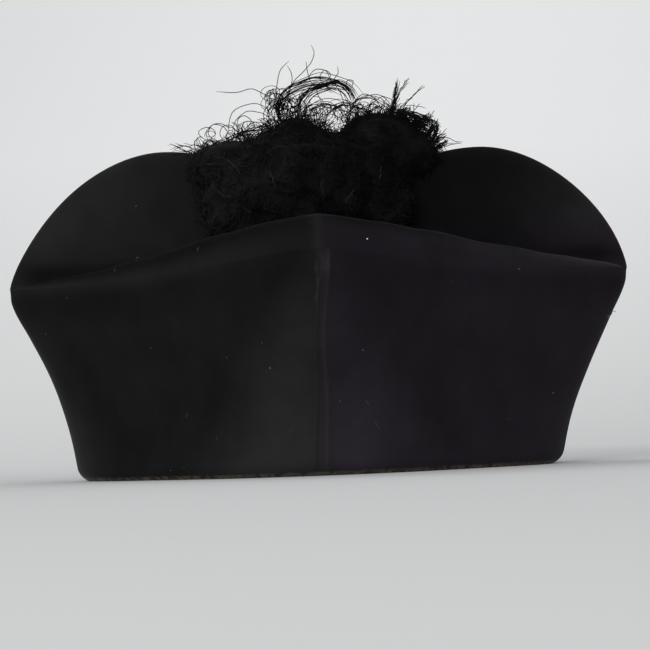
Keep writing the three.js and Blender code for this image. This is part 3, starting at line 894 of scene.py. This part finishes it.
# Pompom
pompom = {
    "middle": (0, -5 * mm, 122 * mm),
    "halves": (55 * mm, 36 * mm, 29 * mm),
    "lumps": [  # shares of the halves: across, back, up, then half width, depth and height
        (-0.12, -0.03, -0.20, 0.78, 0.94, 0.90),
        (-0.65, -0.08, 0.18, 0.31, 0.58, 0.38),
        (-0.15, 0.03, 0.48, 0.23, 0.39, 0.42),
        (0.49, 0.08, 0.40, 0.35, 0.47, 0.54),
        (0.74, 0.08, 0.30, 0.20, 0.34, 0.34),
        (-0.55, -0.20, -0.52, 0.31, 0.50, 0.48),
        (0.31, -0.08, -0.50, 0.40, 0.61, 0.50),
    ],
    "melting": 700,  # per metre: the higher, the sharper the valleys between the lumps
    "coreRows": 110,
    "coreColumns": 220,
    "coreInside": 1.2 * mm,  # how far the core lies inside the lumps, under the curls
    "matting": 1.7 * mm,  # relief of the matted core
    "coreWaves": [(0.6, 9 * mm, 3), (0.4, 3.6 * mm, 5), (0.25, 1.7 * mm, 9)],  # share, size and seed
    "coreLeftLight": (0.1, 45 * mm),  # painted light: paler to the left, up to this far
    "leftLightPatches": (0.6, 7 * mm, 11),  # what the painted light has all over, then its patches' size and seed
    "corePatches": (0.06, 14 * mm, 4),  # paler patches: amount, size and seed
    "curls": {
        "pieces": 3,
        "count": 2300,  # in each
        "length": (4 * mm, 14 * mm),
        "bend": (1.6 * mm, 6 * mm),
        "girth": (0.07 * mm, 0.17 * mm),
        "steps": 12,
        "wobble": (0.6, 0.4, 1.6),  # how much tighter and slacker, and how often along a curl
        "rise": 0.5,  # how steep a helix is at most
        "spread": (1.6, 1.1, 0.9),  # how many of them lie at the sides, in front and behind, and above
        "outside": 1 * mm,  # how far outside the mass the outermost lie
        "depth": 4 * mm,  # and how deep from there the innermost
        "seed": 20,
        "tone": (0.02, 0.1),  # of the darkest, at the right and, with painted light, at the left
        "paler": (0.06, 0.22),  # what comes to it for the palest, at the right and, with painted light, at the left
    },
}


def lumpValues():
    # middles and half sizes of the lumps
    table = np.array(pompom["lumps"])
    middle, halves = np.array(pompom["middle"]), np.array(pompom["halves"])
    return middle + table[:, :3] * halves, table[:, 3:] * halves


def coreReach(ways):
    # the furthest point of any lump along a ray from the middle, and where lumps meet a little further:
    # the logarithm of the sum of their exponentials
    centres, halves = lumpValues()
    middle = np.array(pompom["middle"])
    reach = []
    for centre, half in zip(centres, halves):
        o, d = (middle - centre) / half, ways / half
        a, b, c = np.sum(d * d, -1), d @ o, o @ o - 1
        inside = b * b - a * c
        reach.append(np.where(inside > 0, (-b + np.sqrt(np.maximum(inside, 0))) / a, 0))
    return np.log(np.sum(np.exp(pompom["melting"] * np.stack(reach)), 0)) / pompom["melting"]


def ripple(points, size, seed):
    # a sum of sine waves in a few directions, as a cheap rough noise
    draw = np.random.default_rng(seed)
    total = np.zeros(points.shape[:-1])
    for k in range(7):
        way = draw.normal(size=3)
        way *= (0.7 + 0.12 * k) * 2 * np.pi / size / np.linalg.norm(way)
        total += np.sin(points @ way + 6.3 * draw.random()) / (1 + 0.2 * k)
    return total / 2.6


def makeCore():
    # rays all round the middle up to the melted lumps, with waves of three sizes as relief
    rows, columns = pompom["coreRows"] - 1, pompom["coreColumns"]
    up = np.linspace(0, np.pi, rows + 2)[1:-1, None]
    turn = np.linspace(0, 2 * np.pi, columns, endpoint=False)[None, :]
    ways = np.stack([np.sin(up) * np.cos(turn), np.sin(up) * np.sin(turn), np.cos(up) + 0 * turn], -1)
    ways = np.concatenate([ways.reshape(-1, 3), [[0, 0, 1], [0, 0, -1]]])
    points = np.array(pompom["middle"]) + ways * (coreReach(ways) - pompom["coreInside"])[:, None]
    waves = [share * ripple(points, size, seed) for share, size, seed in pompom["coreWaves"]]
    relief = waves[0] + np.abs(waves[1]) + waves[2]
    points = points + pompom["matting"] * relief[:, None] * ways
    # painted light: paler to the left, in patches
    amount, width = pompom["coreLeftLight"]
    even, size, seed = pompom["leftLightPatches"]
    tone = amount * ease(-points[:, 0] / width) * np.clip(even + ripple(points, size, seed), 0, 1)
    amount, size, seed = pompom["corePatches"]
    tone = tone + amount * np.clip(ripple(points, size, seed), 0, 1)
    j, last, shift = np.arange(columns), (rows - 1) * columns, rows * columns
    after = (j + 1) % columns
    poles = np.concatenate([
        np.stack([j, after, 0 * j + shift], -1),
        np.stack([last + after, last + j, 0 * j + shift + 1], -1),
    ])
    quads = ringFaces(rows, columns)[:, [0, 3, 2, 1]]
    return makePiece("pompomCore", points, [quads, poles], ["pompom"], {"tone": tone})


def makeStrands(name, paths, radius, sides=3, tone=0, slot="wool"):
    # a many-sided tube along each path, its ring square to the path, thinner towards both ends
    count, steps = paths.shape[:2]
    along = np.gradient(paths, axis=1)
    along /= np.linalg.norm(along, axis=-1, keepdims=True) + 1e-12
    aside = rng.normal(size=(count, 1, 3))
    across = np.cross(along, aside)
    across /= np.linalg.norm(across, axis=-1, keepdims=True) + 1e-12
    third = np.cross(along, across)
    ends = np.linspace(-1, 1, steps)
    girth = (np.broadcast_to(radius, (count,))[:, None] * (1 - 0.55 * np.abs(ends) ** 5))[..., None, None]
    angle = np.linspace(0, 2 * np.pi, sides, endpoint=False)[None, None, :, None]
    spokes = np.cos(angle) * across[:, :, None] + np.sin(angle) * third[:, :, None]
    rings = paths[:, :, None] + girth * spokes
    n, m, k = np.meshgrid(np.arange(count), np.arange(steps - 1), np.arange(sides), indexing="ij")
    first, after = n * steps * sides + m * sides, (k + 1) % sides
    quads = np.stack([first + k, first + after, first + sides + after, first + sides + k], -1)
    start = np.arange(count)[:, None] * steps * sides
    low = start + np.arange(sides)[::-1]
    high = start + (steps - 1) * sides + np.arange(sides)
    faces = [quads.reshape(-1, 4), np.concatenate([low, high])]
    tones = np.repeat(np.broadcast_to(tone, (count,)), steps * sides)
    return makePiece(name, rings, faces, (), {"tone": tones})


def onMass(curl, n):
    # random places on the melted lumps, up to a depth inside them
    draw = np.random.default_rng(curl["seed"] + n)
    ways = draw.normal(size=(curl["count"], 3)) * np.array(curl["spread"])
    ways /= np.linalg.norm(ways, axis=1, keepdims=True)
    reach = coreReach(ways) + curl["outside"] - curl["depth"] * draw.random(curl["count"])
    return np.array(pompom["middle"]) + ways * reach[:, None]


def curlPaths(curl, n):
    # helix arcs laid about random places of the mass: each turns by its length over its bend, tighter and
    # slacker by turns
    count, steps = curl["count"], curl["steps"]
    starts = onMass(curl, n)
    frames = np.linalg.qr(rng.normal(size=(count, 3, 3)))[0]
    length = rng.uniform(*curl["length"], (count, 1))
    bend = rng.uniform(*curl["bend"], (count, 1))
    s = np.linspace(0, 1, steps)[None, :]
    much, seldom, often = curl["wobble"]
    phase = s * rng.uniform(seldom, often, (count, 1)) + rng.random((count, 1))
    wobble = 1 + much * np.sin(2 * np.pi * phase)
    angle = np.cumsum(wobble, 1) * length / bend / steps + 2 * np.pi * rng.random((count, 1))
    rise = rng.uniform(-curl["rise"], curl["rise"], (count, 1)) + 0 * s
    way = np.stack([np.cos(angle), np.sin(angle), rise], -1)
    way /= np.linalg.norm(way, axis=-1, keepdims=True)
    paths = np.cumsum(np.einsum("nmk,njk->nmj", way, frames) * (length / steps)[..., None], 1)
    return paths + (starts - paths.mean(1))[:, None]


def crimp(paths, size, turns):
    # three sine waves of random pace and phase along each path, none at its start
    count, steps = paths.shape[:2]
    s = np.linspace(0, 1, steps)[None, :, None]
    pace = turns * rng.uniform(0.5, 1.3, (count, 1, 3))
    waves = np.sin(2 * np.pi * (pace * s + rng.random((count, 1, 3))))
    return paths + size * waves * np.minimum(4 * s, 1) * rng.uniform(0.5, 1.2, (count, 1, 1))


def through(places, steps):
    # one smooth path through a few places, at even steps of their distance
    places = np.asarray(places, float)
    run = np.concatenate([[0], np.cumsum(np.linalg.norm(np.diff(places, axis=0), axis=1))])
    t = np.linspace(0, run[-1], steps)
    return np.stack([smoothTable(t, run, places[:, k]) for k in range(3)], -1)


def fan(path, count, spread, flare, shortest):
    # copies of one path, each moved aside a little, more towards its end, and some shorter
    s = np.linspace(0, 1, path.shape[0])[None, :, None]
    length = rng.uniform(shortest, 1.04, (count, 1, 1))
    aside = rng.normal(size=(count, 1, 3)) * spread
    out = rng.normal(size=(count, 1, 3)) * flare
    start = path[None, :1]
    return start + (path[None] - start) * length + aside + out * s**1.5


def onSkin(across, down):
    # the place on the front of the mass that a pixel shows: back and forth between the ray and the mass
    depth = pompom["middle"][1] - 0.9 * pompom["halves"][1] + 0 * across
    middle = np.array(pompom["middle"])
    for _ in range(6):
        ways = inPicture(across, down, depth) - middle
        ways /= np.linalg.norm(ways, axis=-1, keepdims=True)
        depth = (middle + ways * coreReach(ways)[:, None])[:, 1]
    return inPicture(across, down, depth - strays["above"])


def rings(count, low, high, size, steps):
    # loose loops that stand on the mass: most of a circle, drifting aside as it turns
    feet = rng.uniform(low, high, (count, 3)) * mm
    size = rng.uniform(*size, (count, 1)) * mm
    s = np.linspace(0, 1, steps)[None, :]
    inPlane, about = strays["loopTilt"]
    apart, aside = strays["loopDrift"]
    sweep = rng.uniform(*strays["loopTurns"], (count, 1)) * 2 * np.pi
    angle = quarter + (s - 0.5) * sweep + rng.normal(size=(count, 1)) * inPlane
    turn = rng.normal(size=(count, 1)) * about
    across = size * np.cos(angle) * rng.uniform(*strays["loopWidth"], (count, 1))
    across = across + size * rng.uniform(-apart, apart, (count, 1)) * (s - 0.5)
    up = size * (np.sin(angle) + strays["loopLift"])
    drift = size * aside * rng.normal(size=(count, 1)) * (s - 0.5)
    x = across * np.cos(turn) - drift * np.sin(turn)
    y = across * np.sin(turn) + drift * np.cos(turn)
    return feet[:, None] + np.stack([x, y, up], -1)


# Single hairs and wisps that stand out of the mass
strays = {
    "depth": -5 * mm,
    "stray": 8 * mm,  # how far they lie before and behind that depth
    "above": 1.2 * mm,  # how far the glints stand off the mass
    "steps": 40,
    "netSteps": 30,
    "loopTurns": (0.6, 1.25),  # how much of a circle a loop is
    "loopWidth": (0.8, 1.5),  # against its height
    "loopTilt": (0.5, 0.6),  # random turns in its own plane and about the upright
    "loopDrift": (1.2, 0.5),  # how far its ends part in its plane and aside, in its radii
    "loopLift": 0.6,  # how high its middle is above its foot, in its radii
    "hairLook": {"radius": 0.17 * mm, "sides": 5},
    "wispLook": {"radius": 0.15 * mm, "sides": 4, "tone": 0.08},
    "tuftLook": {"radius": 0.14 * mm, "sides": 4, "tone": 0.06},
    "netGirth": (0.11 * mm, 0.18 * mm),
    "glintGirth": 0.11 * mm,
    "glintTone": (0.15, 0.6),
    "glintPairs": 0.25 * mm,  # how far the two strands of a glint part
    "hairCrimp": (0.12 * mm, 3),  # size and waves
    "wispCrimp": (0.3 * mm, 2),
    "arcCrimp": (0.15 * mm, 3),
    "netCrimp": (0.1 * mm, 3),
    "glintCrimp": (0.25 * mm, 2),
    "wispSkip": 3,  # every third step of a path is kept
    "tuftSkip": 4,
    "hairs": [  # pixels from the root
        [(296, 112), (289, 98), (292, 84), (303, 72), (312, 61), (314, 52), (311, 45)],
        [(322, 104), (316, 90), (309, 78), (306, 61)],
        [(284, 122), (276, 104), (277, 86), (281, 69), (289, 61)],
        [(298, 112), (287, 98), (291, 84), (292, 75), (287, 66)],
        [(281, 118), (271, 99), (262, 93), (252, 89), (239, 92), (216, 92)],
        [(345, 108), (340, 92), (334, 80), (338, 73), (338, 66)],
        [(440, 146), (446, 146), (453, 144), (461, 143)],
        [(214, 140), (208, 133), (211, 126), (221, 124), (230, 128)],
        [(198, 152), (194, 145), (200, 137), (206, 140)],
        [(196, 152), (186, 146), (180, 147), (174, 150)],
        [(229, 136), (229, 124), (232, 113), (243, 106), (259, 104), (268, 110), (272, 120)],
        [(232, 132), (236, 120), (246, 112), (258, 112), (268, 117), (276, 126)],
        [
            (300, 118), (298, 108), (301, 98), (310, 89), (324, 85), (336, 82), (346, 86), (353, 96),
            (352, 108),
        ],
        [(280, 118), (277, 108), (279, 98), (286, 90), (298, 84), (312, 78), (326, 80)],
        [(353, 112), (355, 101), (364, 94), (374, 98), (380, 106)],
        [(372, 114), (374, 103), (383, 97), (390, 104)],
        [(402, 116), (408, 112), (423, 116), (433, 123)],
        [(404, 118), (412, 117), (425, 119), (436, 122)],
        [(322, 84), (320, 76), (325, 70), (330, 74), (327, 82)],
        [(308, 80), (312, 72), (320, 69), (327, 72), (330, 80)],
        [(346, 88), (348, 80), (353, 81), (352, 88)],
        [(238, 126), (238, 119), (245, 116), (251, 121), (247, 128)],
        [(208, 142), (207, 130), (213, 125), (224, 127), (228, 134)],
        [(418, 128), (414, 114), (414, 103)],
        [(398, 114), (406, 103), (416, 93), (425, 86)],
        [(401, 112), (408, 101), (417, 92), (423, 85)],
    ],
    "wisps": [  # hairs, spread and flare in mm, the shortest hair's share, then the pixels
        (18, 0.3, 0.35, 0.7, [(391, 116), (394, 104), (396, 90), (398, 78)]),
        (12, 0.55, 0.5, 0.4, [(389, 118), (393, 106), (396, 90)]),
        (4, 0.12, 0.3, 0.8, [(394, 104), (401, 90), (409, 78)]),
        (40, 1.8, 1.2, 0.5, [(382, 124), (389, 114), (395, 107)]),
        (34, 1.6, 1.2, 0.5, [(396, 122), (402, 114), (408, 111)]),
        (26, 0.6, 0.7, 0.5, [(424, 138), (432, 129), (437, 120)]),
        (22, 0.5, 0.6, 0.5, [(429, 143), (437, 132), (440, 119)]),
        (26, 0.7, 0.8, 0.5, [(428, 147), (437, 139), (447, 132)]),
        (24, 0.7, 0.8, 0.5, [(430, 152), (439, 147), (448, 142)]),
        (22, 0.6, 0.8, 0.5, [(410, 130), (420, 120), (430, 115)]),
        (12, 0.4, 0.7, 0.5, [(418, 130), (428, 121), (433, 110)]),
        (90, 2.4, 1.4, 0.5, [(392, 122), (406, 124), (420, 128), (432, 134)]),
        (80, 2.6, 1.6, 0.5, [(402, 132), (416, 138), (430, 142), (440, 146)]),
        (24, 2.0, 2.2, 0.5, [(206, 158), (196, 154), (188, 151), (181, 150)]),
        (30, 2.2, 3.0, 0.5, [(222, 204), (216, 216), (210, 228), (206, 238)]),
        (36, 2.4, 3.0, 0.5, [(232, 214), (228, 224), (222, 234), (214, 240)]),
    ],
    "tufts": [  # short hairs along the top of the mass, as the wisps
        (44, 2.4, 1.3, 0.3, [(244, 139), (241, 133), (236, 129)]),
        (50, 2.4, 1.3, 0.3, [(270, 131), (268, 125), (264, 121)]),
        (60, 2.2, 1.5, 0.3, [(288, 125), (290, 118), (291, 112)]),
        (50, 2.2, 1.3, 0.3, [(305, 124), (308, 118), (313, 114)]),
        (30, 2.0, 1.2, 0.3, [(322, 130), (325, 125), (330, 122)]),
        (50, 2.2, 1.3, 0.3, [(350, 125), (352, 118), (356, 114)]),
        (60, 2.4, 1.5, 0.3, [(368, 119), (370, 112), (375, 107)]),
        (50, 2.4, 1.5, 0.3, [(402, 120), (406, 114), (412, 110)]),
    ],
    "arcs": [  # bundles of long loose strands, as the wisps
        (9, 1.0, 0.7, 0.96, [
            (279, 122), (276, 108), (279, 98), (287, 89), (298, 84), (312, 79), (328, 81), (343, 87),
            (353, 99),
        ]),
        (9, 1.1, 0.9, 0.96, [
            (284, 122), (281, 108), (285, 98), (295, 91), (308, 86), (322, 85), (336, 90),
        ]),
        (13, 0.65, 0.5, 0.97, [
            (300, 120), (298, 108), (301, 98), (310, 90), (324, 85), (336, 82), (347, 87), (354, 97),
        ]),
        (6, 0.9, 0.6, 0.97, [
            (304, 118), (303, 108), (308, 98), (320, 91), (334, 88), (344, 92), (350, 103),
        ]),
        (6, 1.2, 0.9, 0.9, [(306, 122), (309, 112), (318, 106), (330, 104), (342, 108), (348, 118)]),
        (6, 1.0, 0.9, 0.9, [(318, 126), (322, 116), (332, 108), (344, 104), (356, 106), (366, 112)]),
        (5, 0.8, 0.8, 0.96, [(355, 114), (355, 104), (363, 97), (375, 97), (386, 103), (393, 110)]),
        (12, 0.8, 0.6, 0.9, [(396, 112), (408, 114), (421, 117), (431, 122), (438, 128)]),
        (8, 0.9, 0.8, 0.9, [(226, 140), (240, 134), (256, 130), (270, 124), (280, 116)]),
    ],
    "glints": [  # pale strands that lie on the front of the mass
        [(322, 178), (321, 186), (323, 194), (322, 200)],
        [(355, 188), (351, 195), (345, 202)],
        [(381, 166), (380, 173), (379, 180)],
        [(270, 172), (273, 180), (276, 187)],
        [(243, 206), (248, 210), (252, 211)],
        [(206, 181), (209, 175), (216, 174), (220, 178), (216, 183)],
        [(214, 190), (222, 196), (232, 199)],
        [(226, 160), (234, 166), (240, 175)],
    ],
    "loops": [  # count, lowest and highest foot in mm, then the loops' radii in mm
        (20, (-17, -12, 147), (-6, 6, 152), (2.2, 4.5)),
        (16, (-18, -10, 151), (-9, 4, 156), (2.0, 4.0)),
        (26, (-3, -10, 146), (14, 4, 150), (2.0, 3.8)),
        (26, (12, -10, 146), (30, 8, 150), (1.5, 3.2)),
        (18, (-46, -14, 136), (-22, 8, 141), (1.5, 3.6)),
        (14, (30, -8, 142), (46, 12, 147), (1.2, 2.4)),
        (50, (-34, -30, 128), (34, 28, 142), (1.5, 4.0)),
    ],
}


def picturePath(pixels):
    # a smooth path through pixels, at a depth of its own, which also sways along it as a sine
    across, down = np.array(pixels, float).T
    sway = np.sin(np.linspace(0, 3, len(across)) + rng.uniform(0, 6))
    depth = strays["depth"] + strays["stray"] * (rng.uniform(-1, 1) + 0.4 * sway)
    return through(inPicture(across, down, depth), strays["steps"])


def fans(rows):
    # all the hairs of a table's rows
    parts = [fan(picturePath(way), n, a * mm, b * mm, short) for n, a, b, short, way in rows]
    return np.concatenate(parts)


def makeCurls(n):
    # one piece of the mass's matted curls, paler to the left by painted light, and a few of them paler
    # still
    curl = pompom["curls"]
    paths = curlPaths(curl, n)
    toLeft = ease(-paths[:, 0, 0] / pompom["coreLeftLight"][1])
    tone = mix(*curl["tone"], toLeft) + mix(*curl["paler"], toLeft) * rng.random(len(paths)) ** 3
    return makeStrands(f"pompomCurls{n + 1}", paths, rng.uniform(*curl["girth"], len(paths)), tone=tone)


def makeWool():
    # the core, the curls on it, and what stands out of them
    pieces = [makeCore()]
    pieces += [makeCurls(n) for n in range(pompom["curls"]["pieces"])]
    hairs = np.stack([picturePath(pixels) for pixels in strays["hairs"]])
    hairs = crimp(hairs, *strays["hairCrimp"])
    pieces.append(makeStrands("pompomHairs", hairs, **strays["hairLook"]))
    wisps = crimp(fans(strays["wisps"])[:, :: strays["wispSkip"]], *strays["wispCrimp"])
    arcs = crimp(fans(strays["arcs"]), *strays["arcCrimp"])
    pieces.append(makeStrands("pompomWisps", wisps, **strays["wispLook"]))
    pieces.append(makeStrands("pompomArcs", arcs, **strays["wispLook"]))
    net = np.concatenate([rings(*row, strays["netSteps"]) for row in strays["loops"]])
    net = crimp(net, *strays["netCrimp"])
    pieces.append(makeStrands("pompomNet", net, rng.uniform(*strays["netGirth"], len(net)), 4))
    tufts = crimp(fans(strays["tufts"])[:, :: strays["tuftSkip"]], *strays["wispCrimp"])
    pieces.append(makeStrands("pompomTufts", tufts, **strays["tuftLook"]))
    glints = [through(onSkin(*np.array(way, float).T), strays["steps"]) for way in strays["glints"]]
    glints = np.repeat(np.stack(glints), 2, 0)
    glints = glints + rng.normal(size=(len(glints), 1, 3)) * strays["glintPairs"]
    glints = crimp(glints, *strays["glintCrimp"])
    tone = rng.uniform(*strays["glintTone"], len(glints))
    pieces.append(makeStrands("pompomGlints", glints, strays["glintGirth"], 4, tone))
    return pieces


woolPieces = makeWool()


# Wool
wool = {
    "mottle": {"Scale": 120, "Detail": 4},
    "tones": [(0.42, (0.0012, 0.0011, 0.0012, 1)), (0.7, (0.0051, 0.0045, 0.0048, 1))],
    "pale": (0.055, 0.05, 0.052, 1),
    "finish": {
        "Roughness": 0.8,
        "Specular IOR Level": 0.04,
        "Sheen Weight": 0.005,
        "Sheen Roughness": 0.4,
    },
}


def makeWoolMaterial():
    # mottled black, and paler by the attribute tone, which holds random paleness, painted light to the
    # left and the glints
    material, tree, shader = newMaterial("blackWool", wool["finish"])
    colour = ramp(tree, noise(tree, objectPlace(tree), wool["mottle"]), wool["tones"])
    put(shader.inputs["Base Color"], over(tree, attribute(tree, "tone"), colour, wool["pale"]))
    return material


blackWool = makeWoolMaterial()
for piece in woolPieces:
    piece.data.materials.append(blackWool)
print("pompom made")


# Lint on the cloth
lint = {
    "places": [  # pixels across and down, length and girth in mm, paleness
        (367, 239, 0.4, 0.28, 1),
        (519, 269, 0.5, 0.16, 0.4),
        (136, 206, 0.6, 0.13, 0.3),
        (46, 334, 0.6, 0.13, 0.25),
        (270, 368, 0.8, 0.1, 0.3),
        (262, 343, 0.6, 0.1, 0.25),
        (363, 350, 1.0, 0.09, 0.2),
        (198, 249, 1.3, 0.1, 0.15),
        (137, 258, 1.8, 0.1, 0.15),
        (115, 270, 1.5, 0.08, 0.15),
        (187, 415, 2.0, 0.07, 0.1),
        (217, 438, 1.8, 0.07, 0.1),
        (367, 402, 2.6, 0.07, 0.1),
        (377, 425, 3.6, 0.06, 0.08),
        (553, 393, 0.5, 0.12, 0.4),
    ],
    "threads": [  # loose ends of thread at the right edge and at the rim
        [(607, 317), (611, 315), (613, 311), (616, 312)],
        [(170, 471), (173, 468), (176, 467), (178, 470), (176, 473)],
    ],
    "steps": 12,
    "threadGirth": 0.14 * mm,
    "threadTone": 0.2,
    "threadDepth": 0.3 * mm,  # how far in front of the cloth a loose end is
    "bow": 0.6,  # how much a fibre bends at most
    "uneven": {"Scale": 900},
    "tones": [(0, (0.01, 0.01, 0.01, 1)), (1, (0.9, 0.9, 0.88, 1))],
    "finish": {"Roughness": 0.9},
}


def onCloth(across, down):
    # the place where the ray of a pixel meets the cap, and the cloth's direction there
    spot = bpy.context.scene.camera.matrix_world.translation
    way = Vector(inPicture(across, down, 0.2)) - spot
    _, place, facing, *_ = bpy.context.scene.ray_cast(bpy.context.evaluated_depsgraph_get(), spot, way)
    return np.array(place), np.array(facing)


def makeLint():
    # short bent fibres that lie on the cloth, each an arc in the plane square to its direction
    paths, girths, tones = [], [], []
    s = np.linspace(-0.5, 0.5, lint["steps"])[:, None]
    for across, down, length, girth, tone in lint["places"]:
        place, facing = onCloth(across, down)
        one = np.cross(facing, rng.normal(size=3))
        one /= np.linalg.norm(one)
        two = np.cross(facing, one)
        bow = rng.uniform(-lint["bow"], lint["bow"])
        paths.append(place + facing * 0.5 * girth * mm + length * mm * (s * one + bow * s**2 * two))
        girths.append(girth * mm)
        tones.append(tone)
    for pixels in lint["threads"]:
        across, down = np.array(pixels, float).T
        depth = onCloth(*pixels[0])[0][1] - lint["threadDepth"]
        paths.append(through(inPicture(across, down, depth + 0 * across), lint["steps"]))
        girths.append(lint["threadGirth"])
        tones.append(lint["threadTone"])
    piece = makeStrands("lint", np.stack(paths), np.array(girths), 5, tones, "cloth")
    material, tree, shader = newMaterial("paleLint", lint["finish"])
    uneven = noise(tree, objectPlace(tree), lint["uneven"])
    paleness = times(tree, uneven, attribute(tree, "tone"))
    put(shader.inputs["Base Color"], ramp(tree, paleness, lint["tones"]))
    piece.data.materials.append(material)


makeLint()
print("lint made")


# Floor and light
stage = {
    "tones": [  # painted light: the paper's colour by its height and a tenth of its depth, paler up the backdrop and further back
        (0, (0.49, 0.492, 0.488, 1)),
        (0.05, (0.585, 0.587, 0.583, 1)),
        (0.14, (0.605, 0.607, 0.603, 1)),
        (0.32, (0.69, 0.692, 0.686, 1)),
        (0.7, (0.815, 0.812, 0.808, 1)),
    ],
    "toneDepth": 0.08,  # the share added in front
    "toneTurn": 0.1,  # what a metre of depth counts against one of height
    "half": 3.0,
    "front": -1.6,
    "bend": 1.2,
    "wallAt": 2.2,
    "top": 3.0,
    "steps": (20, 24, 10, 12),  # along the floor, the bend and the wall, and across
    "finish": {"Roughness": 0.95, "Specular IOR Level": 0.1},
}


def makeStage():
    # a flat floor that bends up by a quarter circle into a backdrop, its profile carried along X
    floorSteps, bendSteps, wallSteps, acrossSteps = stage["steps"]
    floor = np.linspace(stage["front"], stage["wallAt"] - stage["bend"], floorSteps)
    bend = np.linspace(0, quarter, bendSteps)[1:]
    up = np.linspace(stage["bend"], stage["top"], wallSteps)[1:]
    y = np.concatenate([floor, floor[-1] + stage["bend"] * np.sin(bend), 0 * up + stage["wallAt"]])
    z = np.concatenate([0 * floor, stage["bend"] * (1 - np.cos(bend)), up])
    x = np.linspace(-stage["half"], stage["half"], acrossSteps)
    points = np.stack([x[None, :] + 0 * y[:, None], y[:, None] + 0 * x, z[:, None] + 0 * x], -1)
    data = bpy.data.meshes.new("floor")
    data.from_pydata(points.reshape(-1, 3), [], gridFaces(len(y), len(x)))
    data.shade_smooth()
    floorPiece = bpy.data.objects.new("floor", data)
    shown.objects.link(floorPiece)
    material, tree, shader = newMaterial("palePaper", stage["finish"])
    _, depth, height = add(tree, "SeparateXYZ", objectPlace(tree)).outputs
    near = reckon(tree, "MULTIPLY_ADD", depth, stage["toneTurn"], stage["toneDepth"])
    put(shader.inputs["Base Color"], ramp(tree, reckon(tree, "ADD", near, height), stage["tones"]))
    data.materials.append(material)


# Each lamp's place, width, power and aim
lamps = {
    "key": ((-0.5, -1.6, 0.45), 0.6, 20, (0, 0, 0.08)),
    "fill": ((1.2, -1.2, 0.4), 1.0, 6, (0, 0, 0.08)),
    "back": ((0.2, 1.2, 1.8), 1.5, 8, (0, 2.2, 0.5)),
    "rear": ((-0.7, 0.8, 1.3), 0.6, 4, (0, 0, 0.08)),
}
air = {"Color": (0.9, 0.92, 0.95, 1), "Strength": 0.55}


def makeLight(name, spot, size, power, aim):
    # a round lamp turned to what it lights
    lamp = bpy.data.lights.new(name, "AREA")
    lamp.shape = "DISK"
    lamp.size = size
    lamp.energy = power
    light = bpy.data.objects.new(name, lamp)
    shown.objects.link(light)
    turn = (Vector(aim) - Vector(spot)).to_track_quat("-Z", "Y").to_matrix().to_4x4()
    light.matrix_world = Matrix.Translation(Vector(spot)) @ turn


makeStage()
for name, values in lamps.items():
    makeLight(name, *values)
world = bpy.data.worlds.new("air")
bpy.context.scene.world = world
world.use_nodes = True
for key, value in air.items():
    world.node_tree.nodes["Background"].inputs[key].default_value = value
bpy.context.scene.view_settings.view_transform = "Standard"
print("stage and lights made")
